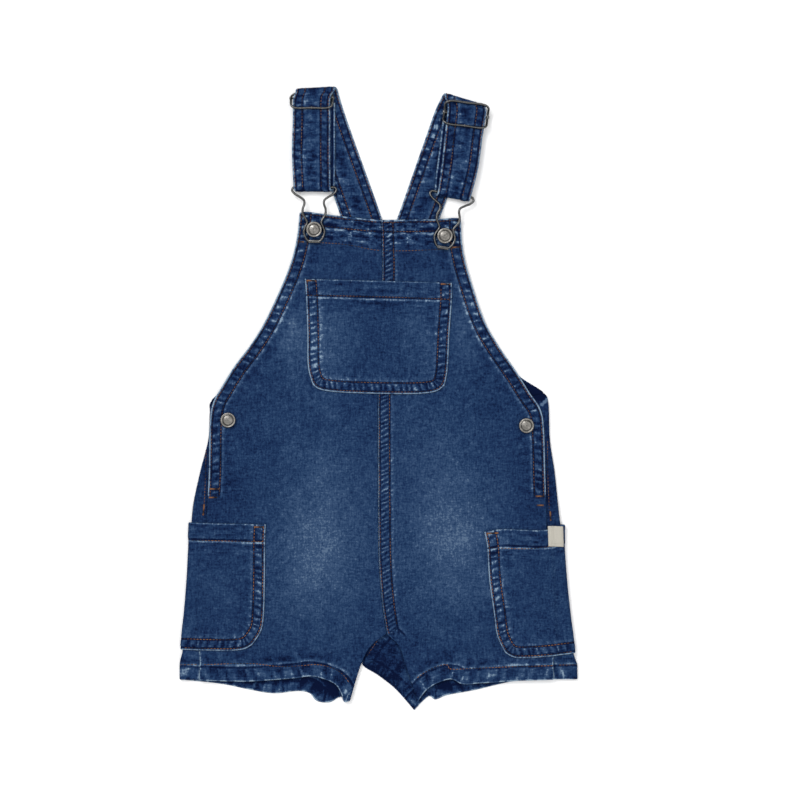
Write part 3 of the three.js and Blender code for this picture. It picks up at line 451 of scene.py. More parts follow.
def at_share(line, share):
    """Points at shares of a line's length."""
    way = travelled(line)
    return np.stack([np.interp(np.asarray(share) * way[-1], way, axis) for axis in line.T], -1)


def resampled(line, pitch):
    way = travelled(line)
    count = max(2, round(way[-1] / pitch) + 1)
    return at_share(line, np.linspace(0, 1, count))


def plan(rows, ends, u, place):
    """Places on a panel, from its outer edge (u = 0) to its inner one, along the rows of its table."""
    values = at_rows(rows, place)
    u = np.broadcast_to(u, (len(place), np.shape(u)[-1]))
    xy = np.stack([mix(values[:, k, None], values[:, k + 2, None], u) for k in (0, 1)], -1)
    fade = ends.get("fade", END_FADE)
    last = len(rows) - 1
    for label, weight in (("top", 1 - place / fade), ("foot", 1 - (last - place) / fade)):
        if label in ends:
            line = smooth_line(ends[label])
            bow = at_share(line, u.ravel()) - mix(line[0], line[-1], u.ravel()[:, None])
            xy += bow.reshape(xy.shape) * np.maximum(weight, 0)[:, None, None]
    return xy


def row_places(rows, cell, roll):
    """Places along a table's rows in even cells, with narrow ones at both ends."""
    ends = np.asarray(rows, float)[:, :4]
    middle = (ends[:, :2] + ends[:, 2:]) / 2
    way = travelled(middle)
    return np.interp(spread_rows([way[-1]], cell, roll)[0] * way[-1], way, np.arange(len(rows)))


def pucker_phase(arc, period):
    """Turns of the puckers along a seam, which stray a little from an even spacing."""
    return arc / period + 0.16 * np.sin(arc * 0.31) + 0.10 * np.sin(arc * 0.83 + 1)


def run_along(points, line, period, weight=1.0):
    """Distance of each point from a line, its place along the line in seam periods, and a weight."""
    line = resampled(line, 3.0)
    starts, steps = line[:-1], np.diff(line, axis=0)
    lengths = np.linalg.norm(steps, axis=1)
    way = travelled(line)[:-1]
    flat = points[..., :2].reshape(-1, 2)
    distance, arc = np.empty(len(flat)), np.empty(len(flat))
    for first in range(0, len(flat), BLOCK):
        offset = flat[first : first + BLOCK, None] - starts
        share = np.clip((offset * steps).sum(-1) / lengths**2, 0, 1)
        gap = np.linalg.norm(offset - share[..., None] * steps, axis=-1)
        near = gap.argmin(1)
        index = np.arange(len(near))
        distance[first : first + BLOCK] = gap[index, near]
        arc[first : first + BLOCK] = way[near] + share[index, near] * lengths[near]
    phase = pucker_phase(arc, period)
    shape = points.shape[:-1]
    weights = np.broadcast_to(weight, shape)
    return np.stack([distance.reshape(shape), phase.reshape(shape), weights], -1)


def seam_relief(run, rows, height, channels=1.0):
    """Puckers between two stitch rows, and the channels that the rows pull in."""
    distance, phase, weight = np.moveaxis(run, -1, 0)
    between = rise(distance, rows[0], rows[0] + PUFF_SLOPE)
    between = between * (1 - rise(distance, rows[1] - PUFF_SLOPE, rows[1]))
    puff = 0.5 + 0.5 * np.cos(2 * np.pi * phase)
    late_puff = 0.5 + 0.5 * np.cos(2 * np.pi * phase + 0.8)
    beyond = np.exp(-(((distance - rows[1] - 2.2) / BEYOND_SPREAD) ** 2)) * late_puff
    sunk = sum(np.exp(-(((distance - row) / CHANNEL_SPREAD) ** 2)) for row in rows)
    return weight * height * (between * (0.35 + 0.65 * puff) + 0.35 * beyond - 0.4 * channels * sunk)


def seams_relief(runs, rows, puckers):
    """Relief of all seams of a sheet together."""
    height = sizes()["pucker"]
    return sum(
        seam_relief(runs[label], rows[label], share * height, channels)
        for label, share, channels in puckers
    )


def reversed_runs(runs):
    """Runs of a grid whose columns are reversed, so that its faces point outwards."""
    return {label: run[:, ::-1] for label, run in runs.items()}


def edge_x(rows, y):
    """X of a panel's side at a height y."""
    rows = np.asarray(rows, float)
    return np.interp(-np.asarray(y, float), -rows[:, 1], rows[:, 0])


def side_rows(x, left, right, y):
    return np.where(x < 0, -edge_x(left, y), edge_x(right, y))


def lift(x, y, zone=None):
    """The pockets' back halves lie on the surface, so the layers above them are lifted."""
    zone = zone or BACK_LIFT
    across = rise(np.abs(x), *zone["across"])
    down = 1 - rise(y, zone["top"][1], zone["top"][0])
    return LIFT * across * down * rise(y, *zone["bottom"])


def fold_height(folds, x, y):
    height = np.zeros(np.shape(x))
    for x0, y0, x1, y1, breadth, size in folds:
        dx, dy = x1 - x0, y1 - y0
        length = math.hypot(dx, dy)
        along = ((x - x0) * dx + (y - y0) * dy) / length**2
        across = ((x - x0) * dy - (y - y0) * dx) / length / breadth
        taper = rise(along, -0.25, 0.25) * (1 - rise(along, 0.75, 1.25))
        height = height + size * taper * np.exp(-(across**2))
    return height


def front_low(x, y):
    """Underside of the front, which rests on the wrapped sides and sinks towards the middle."""
    x, y = np.asarray(x, float), np.asarray(y, float)
    inward = side_rows(x, FRONT_LEFT, FRONT_RIGHT, y) - np.abs(x)
    lap = (1 - rise(inward, LAP_FLAT, LAP_FLAT + LAP_SLOPE)) * (1 - rise(y, 4, 30))
    calm = rise(inward, 6, 36)
    belly = 0.9 * np.exp(-((x / 80) ** 2) - ((y + 96) / 90) ** 2)
    rest = FRONT_CLEARANCE + (2 * sizes()["fold_radius"] + GAP - FRONT_CLEARANCE) * lap
    sag = np.maximum(belly + fold_height(FRONT_FOLDS + FRONT_CREASES, x, y), -0.2)
    return lift(x, y, FRONT_LIFT) + rest + calm * sag


def fell_rise(x, y):
    rows = np.asarray(FRONT_RIGHT, float)
    centre = np.interp(-y, -rows[:, 3], rows[:, 2])
    width = sizes()["fell_width"]
    off = np.abs(x - centre - width / 2) - width / 2
    return sizes()["fell_rise"] * (1 - rise(off, 2, 10))


def normals_of(grid):
    down = np.gradient(grid, axis=0)
    across = np.gradient(grid, axis=1)
    normal = np.cross(down, across)
    return normal / np.maximum(np.linalg.norm(normal, axis=-1, keepdims=True), 1e-9)


def border_distance(grid):
    """Distance of each point of a grid from the sheet's nearest edge, along the grid."""
    down = np.linalg.norm(np.diff(grid, axis=0), axis=-1)
    across = np.linalg.norm(np.diff(grid, axis=1), axis=-1)
    rows, columns = grid.shape[:2]
    from_top = np.concatenate([np.zeros((1, columns)), np.cumsum(down, 0)])
    from_left = np.concatenate([np.zeros((rows, 1)), np.cumsum(across, 1)], 1)
    return np.minimum.reduce(
        [from_top, from_top[-1:] - from_top, from_left, from_left[:, -1:] - from_left]
    )


def rounded(outer, inner):
    """The two faces of a sheet, drawn together along its edges as round an edge of cloth."""
    roll = sizes()["edge_roll"]
    near = 1 - np.clip(border_distance(outer) / roll, 0, 1)
    pinch = (EDGE_PINCH * (1 - np.sqrt(np.maximum(0, 1 - near**2))))[..., None]
    return mix(outer, inner, pinch), mix(inner, outer, pinch)


def wall_faces(rows, columns):
    index = np.arange(rows * columns).reshape(rows, columns)
    count = rows * columns
    a, b, c, d = index[:-1, :-1], index[1:, :-1], index[1:, 1:], index[:-1, 1:]
    outer = np.stack([a, b, c, d], -1).reshape(-1, 4)
    inner = np.stack([a, d, c, b], -1).reshape(-1, 4) + count
    ring = np.concatenate([index[:, 0], index[-1, 1:], index[-2::-1, -1], index[0, -2:0:-1]])
    after = np.roll(ring, -1)
    rim = np.stack([after, ring, ring + count, after + count], -1)
    return np.concatenate([outer, inner, rim])


def add_piece(name, points, faces, material, stands_for=(), attributes=None):
    """A mesh piece from points in millimetres, riding on the garment."""
    mesh = bpy.data.meshes.new(name)
    placed = (np.asarray(points, float).reshape(-1, 3) + SHIFT) * MM
    mesh.from_pydata(placed.tolist(), [], faces)
    for label, values in (attributes or {}).items():
        kind, field = ("FLOAT_VECTOR", "vector") if values.shape[-1] == 3 else ("FLOAT", "value")
        made = mesh.attributes.new(label, kind, "POINT")
        made.data.foreach_set(field, values.astype(np.float32).ravel())
    mesh.materials.append(material)
    piece = bpy.data.objects.new(name, mesh)
    bpy.context.collection.objects.link(piece)
    mesh.shade_smooth()
    return settle(piece, stands_for)


def settle(piece, stands_for=()):
    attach(piece, "root")
    if stands_for:
        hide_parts(*stands_for)
    return piece


def add_sheet(name, outer, inner, material, runs, node):
    """A closed sheet of cloth between two grids, which takes the place of its part of the model."""
    outer, inner = rounded(outer, inner)
    rows, columns = outer.shape[:2]
    attributes = {}
    for label, run in runs.items():
        values = run.reshape(-1, 3)
        attributes[label] = np.concatenate([values, values])
    points = np.concatenate([outer.reshape(-1, 3), inner.reshape(-1, 3)])
    faces = wall_faces(rows, columns).tolist()
    piece = add_piece(name, points, faces, material, (node,), attributes)
    return piece


def spread_rows(widths, cell, roll):
    """Shares of each row's width, as many in every row."""
    count = max(3, round(np.max(widths) / cell))
    edge = np.array(EDGE_STEPS) * roll
    rows = []
    for width in widths:
        inner = np.linspace(roll * EVEN_FROM, width - roll * EVEN_FROM, count)
        rows.append(np.concatenate([edge, inner, width - edge[::-1]]) / width)
    return np.array(rows)


def front_table(side):
    """Rows of one front panel, and the curves of its top and hem."""
    if side < 0:
        return FRONT_LEFT, {"top": BIB_TOP_LEFT, "foot": HEM_LEFT}
    return FRONT_RIGHT, {"top": BIB_TOP_RIGHT, "foot": HEM_RIGHT}


def side_pocket_table(side):
    """Rows of one side pocket, and the curves of its ends."""
    if side < 0:
        return POCKET_LEFT, {"foot": POCKET_LEFT_FOOT, "fade": POCKET_FADE}
    return POCKET_RIGHT, {"top": POCKET_TOP_RIGHT, "foot": POCKET_RIGHT_FOOT, "fade": POCKET_FADE}


def front_grids(side):
    size = sizes()
    rows, ends = front_table(side)
    place = row_places(rows, size["cell"], size["edge_roll"])
    values = at_rows(rows, place)
    u = spread_rows(np.abs(values[:, 0] - values[:, 2]), size["cell"], size["edge_roll"])
    xy = plan(rows, ends, u, place)
    y = xy[..., 1]
    runs = {
        "run_edge": run_along(xy, xy[:, 0], EDGE_PERIOD, rise(y, *OPENING_FOOT)),
        "run_centre": run_along(xy, xy[:, -1], CENTRE_PERIOD, 0.0 if side < 0 else rise(y, *CENTRE_FOOT)),
        "run_top": run_along(xy, xy[0], TOP_PERIOD),
        "run_hem": run_along(xy, xy[-1], HEM_PERIOD, 0.8),
        "run_side": run_along(xy, xy[:, 0], FRONT_SIDE_PERIOD, 1 - rise(y, *FRONT_SIDE_FOOT)),
    }
    band = 1 - rise(runs["run_top"][..., 0], *BIB_BAND)
    band = band + 1 - rise(runs["run_hem"][..., 0], *HEM_BAND)
    raised = size["band_rise"] * band
    if side > 0:
        strip = 1 - rise(runs["run_centre"][..., 0], size["fell_width"], size["fell_width"] + 1.2)
        raised = np.maximum(raised, size["fell_rise"] * strip)
    relief = seams_relief(runs, PANEL_ROWS, PANEL_PUCKERS)
    xy[..., 0] += side * GAP / 2 * rise(u, 0.75, 1.0)
    low = front_low(xy[..., 0], y)
    outer = np.dstack([xy, low + size["cloth"] + raised + relief])
    inner = np.dstack([xy, low])
    if side > 0:
        outer, inner = outer[:, ::-1], inner[:, ::-1]
        runs = reversed_runs(runs)
    return outer, inner, runs


def back_grids(side):
    size = sizes()
    left = side < 0
    rows, front = (BACK_LEFT, FRONT_LEFT) if left else (BACK_RIGHT, FRONT_RIGHT)
    ends = {"foot": (BACK_HEM_LEFT if left else BACK_HEM_RIGHT)[::-1]}
    radius = size["fold_radius"]
    place = row_places(rows, size["cell"] * BACK_CELLS, size["edge_roll"])
    values = at_rows(rows, place)
    turned = values[:, 4] - EDGE_LIES_FLAT
    wrap = np.clip(turned / 0.2, 0, 1)[:, None]
    reach = np.clip(turned / (1 - EDGE_LIES_FLAT), 0, 1)
    fold = plan(rows, ends, np.zeros((len(place), 1)), place)[:, 0]
    centre = fold[:, 0] - side * radius
    start = mix(fold[:, 0] - side * ARMHOLE_RIM, centre, wrap[:, 0])
    inner_x = values[:, 2]
    width = np.abs(start - inner_x)
    t = spread_rows(width, size["cell"] * BACK_CELLS, size["edge_roll"])[:, :-3]
    x = mix(inner_x[:, None], start[:, None], t)
    flat = plan(rows, ends, (x - fold[:, :1]) / (inner_x - fold[:, 0])[:, None], place)
    height = lift(flat[..., 0], flat[..., 1]) + fold_height(BACK_FOLDS, flat[..., 0], flat[..., 1])
    sheet = np.dstack([flat, height])

    turns, tucks = 10, 16
    step = np.arange(1, turns + tucks + 1)
    share = np.interp(step, (0, turns / 2, turns + tucks), (0, 0.92, 1))
    base = lift(centre, fold[:, 1])[:, None]
    tuck = mix(centre, edge_x(front, fold[:, 1]) - side * BACK_TUCK, reach)
    angle = np.pi * np.minimum(step / turns, 1) - np.pi / 2
    round_x = centre[:, None] + side * radius * np.cos(angle)
    over = np.clip((step - turns) / tucks, 0, 1)
    bent_x = np.where(step > turns, mix(centre[:, None], tuck[:, None], over), round_x)
    bent_z = base + radius * (1 + np.sin(angle))
    rim_x = mix(start[:, None], fold[:, :1], share)
    rim = plan(rows, ends, (rim_x - fold[:, :1]) / (inner_x - fold[:, 0])[:, None], place)
    wrapped = np.dstack([
        mix(rim_x, bent_x, wrap),
        mix(rim[..., 1], fold[:, 1:], wrap),
        mix(np.broadcast_to(base, bent_x.shape), bent_z, wrap),
    ])
    grid = np.concatenate([sheet, wrapped], 1)
    free = np.broadcast_to(1 - np.clip(values[:, 4:] * 2.5, 0, 1), grid.shape[:2])
    runs = {
        "run_edge": run_along(grid, fold, EDGE_PERIOD, free),
        "run_centre": run_along(grid, grid[:, 0, :2], CENTRE_PERIOD, 0.6),
        "run_hem": run_along(grid, flat[-1], HEM_PERIOD, 0.8),
    }
    over_side = np.arange(grid.shape[1]) > sheet.shape[1] + turns // 2
    beside = np.array(front)[:, :2]
    ending = 1 - rise(grid[..., 1], *BACK_SIDE_FOOT)
    runs["run_side"] = run_along(grid, beside, BACK_SIDE_PERIOD, over_side * ending)
    if not left:
        grid = grid[:, ::-1]
        runs = reversed_runs(runs)
    inner = grid - normals_of(grid) * size["cloth"]
    inner[..., 2] = np.maximum(inner[..., 2], 0.0)
    return grid, inner, runs


def bib_pocket_grids():
    size = sizes()
    place = row_places(BIB_POCKET, size["cell"] * BIB_POCKET_CELLS, size["edge_roll"])
    values = at_rows(BIB_POCKET, place)
    u = spread_rows(np.abs(values[:, 0] - values[:, 2]), size["cell"] * BIB_POCKET_CELLS, size["edge_roll"])
    xy = plan(BIB_POCKET, BIB_POCKET_ENDS, u, place)
    x, y = xy[..., 0], xy[..., 1]
    outline = np.concatenate([xy[:, 0], xy[-1, 1:-1], xy[::-1, -1]])
    runs = {
        "run_edge": run_along(xy, outline, BIB_POCKET_PERIOD),
        "run_top": run_along(xy, xy[0], POCKET_TOP_PERIOD, 0.9),
    }
    low = front_low(x, y) + size["cloth"] + GAP + fell_rise(x, y)
    band = size["band_rise"] * (1 - rise(runs["run_top"][..., 0], *BIB_POCKET_BAND))
    relief = seams_relief(runs, POCKET_ROWS, POCKET_PUCKERS)
    return np.dstack([xy, low + size["cloth"] + band + relief]), np.dstack([xy, low]), runs


def pocket_top(side, x, y):
    """Top of a side pocket over the wrapped side, then up the step onto the front's edge."""
    size = sizes()
    front = FRONT_LEFT if side < 0 else FRONT_RIGHT
    inward = np.abs(edge_x(front, y)) - np.abs(x)
    on_side = lift(x, y) + 2 * size["fold_radius"] + GAP + size["cloth"]
    on_front = front_low(x, y) + 2 * size["cloth"] + GAP
    return mix(on_side, on_front, rise(inward, -POCKET_STEP_START, POCKET_STEP - POCKET_STEP_START))


def side_pocket_grids(side):
    size = sizes()
    rows, ends = side_pocket_table(side)
    radius = size["fold_radius"] + GAP + size["cloth"]
    place = row_places(rows, size["cell"], size["edge_roll"])
    fold = plan(rows, ends, np.zeros((len(place), 1)), place)[:, 0]
    inner_x = at_rows(rows, place)[:, 2]
    centre = fold[:, 0] - side * radius
    under_share = np.concatenate([[0, 0.01, 0.03], np.linspace(0.06, 1, 16)])
    under_x = mix(side * POCKET_UNDER, centre[:, None], under_share)
    under = np.dstack([under_x, np.broadcast_to(fold[:, 1:], under_x.shape), np.zeros(under_x.shape)])
    angle = np.pi * np.arange(1, TURN_STEPS + 1) / TURN_STEPS - np.pi / 2
    turn_x = centre[:, None] + side * radius * np.cos(angle)
    turn = np.dstack([
        turn_x,
        np.broadcast_to(fold[:, 1:], turn_x.shape),
        np.broadcast_to(radius * (1 + np.sin(angle)), turn_x.shape),
    ])
    width = np.abs(fold[:, 0] - inner_x)
    beyond = spread_rows(width - radius, size["cell"], size["edge_roll"])[:, 3:]
    u = mix((radius / width)[:, None], 1.0, beyond)
    xy = plan(rows, ends, u, place)
    x, y = xy[..., 0], xy[..., 1]
    top = np.dstack([xy, pocket_top(side, x, y)])
    grid = np.concatenate([under, turn, top], 1)
    foot = plan(rows, ends, np.linspace(1, 0, 60)[None], np.array([len(rows) - 1.0]))[0]
    brim = plan(rows, ends, np.linspace(0, 1, 60)[None], np.array([0.0]))[0]
    on_top = np.zeros(grid.shape[:2])
    on_top[:, under.shape[1] + TURN_STEPS // 2 :] = 1
    runs = {
        "run_edge": run_along(grid, np.concatenate([xy[:, -1], foot[1:]]), SIDE_POCKET_PERIOD, on_top),
        "run_top": run_along(grid, brim, POCKET_TOP_PERIOD, 0.9),
    }
    band = on_top * size["band_rise"] * (1 - rise(runs["run_top"][..., 0], *POCKET_BAND))
    relief = on_top * seams_relief(runs, POCKET_ROWS, POCKET_PUCKERS)
    if side > 0:
        grid, band, relief = grid[:, ::-1], band[:, ::-1], relief[:, ::-1]
        runs = reversed_runs(runs)
    normal = normals_of(grid)
    return grid + normal * (band + relief)[..., None], grid - normal * size["cloth"], runs


def tag_grids():
    size = sizes()
    radius = size["fold_radius"] + GAP + size["cloth"]
    u, v = np.meshgrid(np.linspace(0, 1, 26), np.linspace(0, 1, 32))
    width, height = TAG_BOX["right"] - TAG_BOX["left"], TAG_BOX["top"] - TAG_BOX["bottom"]
    y = TAG_BOX["top"] - v * height - TAG_BOX["lean"] * u * width
    x = TAG_BOX["left"] + u * width + TAG_BOX["lean"] * v * height
    past = np.maximum(0, x - (edge_x(POCKET_RIGHT, y) - radius))
    drop = radius - np.sqrt(np.maximum(0, radius**2 - past**2))
    sewn_down = 0.35 * (1 - rise(np.minimum(u, 1 - u), 0.06, 0.2)) * rise(v, 0.0, 0.1)
    low = pocket_top(1, x, y) + GAP + size["band_rise"] * (y > -116) - drop
    swell = 0.12 * np.sin(np.pi * u) * np.sin(np.pi * v)
    outer = np.dstack([x, y, low + 0.85 - 0.5 * sewn_down + swell])
    return outer, np.dstack([x, y, low]), {"run_edge": np.dstack([u * width, v * height, np.ones_like(u)])}


def turned_over(a, b, side):
    """Sections of a half turn between two sections of a band that lie over each other."""
    across = a[2:4] - a[:2]
    out = side * np.array([-across[1], across[0]]) / np.linalg.norm(across)
    angle = np.pi * np.arange(1, TURN_STEPS) / TURN_STEPS
    rows = mix(a, b, ((1 - np.cos(angle)) / 2)[:, None])
    reach = abs(b[4] - a[4]) / 2 * np.sin(angle)[:, None]
    rows[:, :4] += np.hstack([out, out]) * reach
    return rows


def strap_sections(strap):
    """Every section of a strap, and how many of them belong to the run from the back."""
    parts = {}
    for label in ("back", "front", "again"):
        rows = np.array(strap[label])
        middle = (rows[:, :2] + rows[:, 2:4]) / 2
        way = travelled(middle)
        place = np.interp(np.linspace(0, way[-1], max(4, round(way[-1] / 1.3))), way, np.arange(len(rows)))
        parts[label] = at_rows(rows, place)
    top = turned_over(parts["back"][-1], parts["front"][0], 1)
    foot = turned_over(parts["front"][-1], parts["again"][0], -1)
    sections = np.concatenate([parts["back"], top, parts["front"], foot, parts["again"]])
    ends = len(parts["back"]), len(parts["back"]) + len(top) + len(parts["front"])
    return sections, ends


def strap_grids(strap):
    size = sizes()
    sections, (back_end, _) = strap_sections(strap)
    u = spread_rows(np.full(len(sections), STRAP_WIDTH), size["cell"], size["edge_roll"])
    middle = np.stack([mix(sections[:, k, None], sections[:, k + 2, None], u) for k in (0, 1)], -1)
    middle = np.dstack([middle, np.broadcast_to(sections[:, 4:5], u.shape)])
    width = np.linalg.norm(middle[:, -1] - middle[:, 0], axis=-1)[:, None]
    arc = travelled(middle[:, u.shape[1] // 2])[:, None] * np.ones_like(u)
    phase = pucker_phase(arc, STRAP_PERIOD)
    runs = {
        "run_edge": np.dstack([u * width, phase, np.ones_like(u)]),
        "run_centre": np.dstack([(1 - u) * width, phase + 0.4, np.ones_like(u)]),
    }
    relief = sum(seam_relief(run, STRAP_ROWS[label], size["pucker"]) for label, run in runs.items())
    bow = 0.25 * np.sin(np.pi * u) * np.sin(arc / 17.0)
    normal = normals_of(middle)
    half = size["strap_cloth"] / 2
    off_floor = np.where(np.arange(len(sections)) < back_end + TURN_STEPS // 2, 0.0, 1.0)[:, None]
    outer = middle + normal * (half + off_floor * (relief + np.minimum(bow, 0.2)))[..., None]
    inner = middle - normal * (half + relief)[..., None]
    return outer, inner, runs


def inset(line, distance, side):
    """A line kept at a distance to one side of another."""
    line = resampled(line, 1.0)
    step = np.gradient(line, axis=0)
    normal = side * np.stack([-step[:, 1], step[:, 0]], -1) / np.linalg.norm(step, axis=1)[:, None]
    moved = line + normal * distance
    clear = run_along(moved, line, 1.0)[:, 0] > distance - 0.12
    return resampled(smooth_line(moved[clear][::4]), 1.0)


def kept(line, test):
    return line[test(line[:, 0], line[:, 1])]


def dropped(surface, points, from_below=False):
    """Points and normals where places in plan meet a piece, seen from above or from below."""
    way = Vector((0, 0, 1 if from_below else -1))
    found = []
    for x, y in points:
        origin = Vector(((x + SHIFT[0]) * MM, (y + SHIFT[1]) * MM, 0)) - way * 0.05
        spot, normal, _, _ = surface.ray_cast(origin, way)
        found.append(None if spot is None else (*(np.array(spot) / MM - SHIFT), *normal))
    return found


def sewn(surface, line, from_below=False):
    """Start, end and upward direction of every stitch of a row laid on a piece."""
    size = sizes()
    line = resampled(np.asarray(line, float), size["stitch_pitch"])
    ends = line[:-1] + np.diff(line, axis=0) * size["stitch"] / size["stitch_pitch"]
    stitches = []
    for first, last in zip(dropped(surface, line[:-1], from_below), dropped(surface, ends, from_below)):
        if first and last and abs(first[2] - last[2]) < STITCH_JUMP:
            stitches.append((first[:3], last[:3], first[3:]))
    return stitches


def tacked(surface, start, end):
    """The close, crosswise stitches of a bar tack from start to end."""
    start, end = np.array(start, float), np.array(end, float)
    length = np.linalg.norm(end - start)
    across = np.array([start[1] - end[1], end[0] - start[0]]) / length
    middles = [mix(start, end, t) for t in np.linspace(0, 1, round(length / TACK_PITCH))]
    one = dropped(surface, [m - across * TACK_REACH for m in middles])
    other = dropped(surface, [m + across * TACK_REACH for m in middles])
    return [(a[:3], b[:3], a[3:]) for a, b in zip(one, other) if a and b]


def sewn_on_strap(points, normals):
    """Stitches along a line of a strap's own surface."""
    size = sizes()
    way = travelled(points)
    count = round(way[-1] / size["stitch_pitch"])
    starts = np.linspace(0, way[-1] - size["stitch"], count)

    def at(values, arcs):
        return np.stack([np.interp(arcs, way, axis) for axis in values.T], -1)

    return list(zip(at(points, starts), at(points, starts + size["stitch"]), at(normals, starts)))


# Sections of a stitch: share of its length, thickness, and height over the cloth
STITCH_RINGS = ((0.04, 0.6, -0.05), (0.3, 1.0, 0.2), (0.7, 1.0, 0.2), (0.96, 0.6, -0.05))
STITCH_SIDES = 5
# How deep a stitch's ends dip into the cloth, and the step in height that no stitch spans
THREAD_DIP, STITCH_JUMP = 0.3, 1.2
# Bar tacks: from one crosswise thread to the next, and its reach to either side
TACK_PITCH, TACK_REACH = 0.5, 0.75
# Threads of the underside are pressed into the cloth, this far below it at most
THREAD_LOW = -0.2


def add_thread(name, stitches, material, radius):
    """One mesh of all stitches: each a short thread that dips into the cloth at both ends."""
    starts, ends, ups = (np.array([s[k] for s in stitches]) for k in range(3))
    forward = ends - starts
    length = np.linalg.norm(forward, axis=1, keepdims=True)
    forward /= length
    aside = np.cross(forward, ups)
    aside /= np.linalg.norm(aside, axis=1, keepdims=True)
    up = np.cross(aside, forward)
    turn = 2 * np.pi * np.arange(STITCH_SIDES) / STITCH_SIDES
    points = [starts - up * THREAD_DIP]
    for share, thick, height in STITCH_RINGS:
        middle = starts + forward * length * share + up * height
        for angle in turn:
            points.append(middle + radius * thick * (aside * math.cos(angle) + up * math.sin(angle)))
    points.append(ends - up * THREAD_DIP)
    points = np.stack(points, 1)
    count = points.shape[1]
    rings = np.arange(STITCH_SIDES * len(STITCH_RINGS)).reshape(len(STITCH_RINGS), STITCH_SIDES) + 1
    after = np.roll(rings, -1, axis=1)
    quads = np.stack([rings[:-1], after[:-1], after[1:], rings[1:]], -1).reshape(-1, 4)
    first = [(0, b, a) for a, b in zip(rings[0], after[0])]
    last = [(count - 1, a, b) for a, b in zip(rings[-1], after[-1])]
    faces = []
    for k in range(len(stitches)):
        faces += (quads + k * count).tolist()
        faces += [[p + k * count for p in face] for face in first + last]
    tone = 0.5 + 0.5 * np.sin(np.arange(len(stitches)) * 12.9898)
    points = points.reshape(-1, 3)
    points[:, 2] = np.maximum(points[:, 2], THREAD_LOW)
    tones = {"thread_tone": np.repeat(tone, count)[:, None]}
    return add_piece(name, points, faces, material, attributes=tones)


def node(tree, kind, **settings):
    made = tree.nodes.new(kind)
    for name, value in settings.items():
        setattr(made, name, value)
    return made


def feed(tree, socket, value):
    if isinstance(value, bpy.types.NodeSocket):
        tree.links.new(value, socket)
    else:
        socket.default_value = value


def maths(tree, operation, *values):
    made = node(tree, "ShaderNodeMath", operation=operation)
    for socket, value in zip(made.inputs, values):
        feed(tree, socket, value)
    return made.outputs[0]


def total(tree, *values):
    summed = values[0]
    for value in values[1:]:
        summed = maths(tree, "ADD", summed, value)
    return summed


def times(tree, *values):
    product = values[0]
    for value in values[1:]:
        product = maths(tree, "MULTIPLY", product, value)
    return product


def less(tree, value):
    return maths(tree, "SUBTRACT", 1.0, value)


def ramp(tree, value, low, high):
    """0 at low and 1 at high, smoothly between."""
    made = node(tree, "ShaderNodeMapRange", interpolation_type="SMOOTHSTEP")
    for label, given in (("Value", value), ("From Min", low), ("From Max", high)):
        feed(tree, made.inputs[label], given)
    return made.outputs[0]


def window(tree, value, start, rising, end, falling):
    """0 outside and 1 inside, with the rise given from start on and the fall from end on."""
    risen = ramp(tree, value, total(tree, start, rising[0]), total(tree, start, rising[1]))
    fallen = ramp(tree, value, total(tree, end, falling[0]), total(tree, end, falling[1]))
    return times(tree, risen, less(tree, fallen))


def scaled(tree, vector, scale):
    made = node(tree, "ShaderNodeVectorMath", operation="MULTIPLY")
    feed(tree, made.inputs[0], vector)
    made.inputs[1].default_value = scale
    return made.outputs[0]


def noise(tree, vector, scale, detail=2.0, roughness=0.5):
    made = node(tree, "ShaderNodeTexNoise")
    feed(tree, made.inputs["Vector"], vector)
    for label, value in (("Scale", scale), ("Detail", detail), ("Roughness", roughness)):
        made.inputs[label].default_value = value
    return made.outputs["Fac"]


def group_tree(name, inputs, outputs):
    tree = bpy.data.node_groups.new(name, "ShaderNodeTree")
    for label, kind, value in inputs:
        socket = tree.interface.new_socket(label, in_out="INPUT", socket_type=f"NodeSocket{kind}")
        socket.default_value = value
    for label in outputs:
        tree.interface.new_socket(label, in_out="OUTPUT", socket_type="NodeSocketFloat")
    return tree, node(tree, "NodeGroupInput").outputs, node(tree, "NodeGroupOutput").inputs


def placed_group(tree, group, **inputs):
    made = node(tree, "ShaderNodeGroup", node_tree=group)
    for label, value in inputs.items():
        feed(tree, made.inputs[label.replace("_", " ")], value)
    return made.outputs


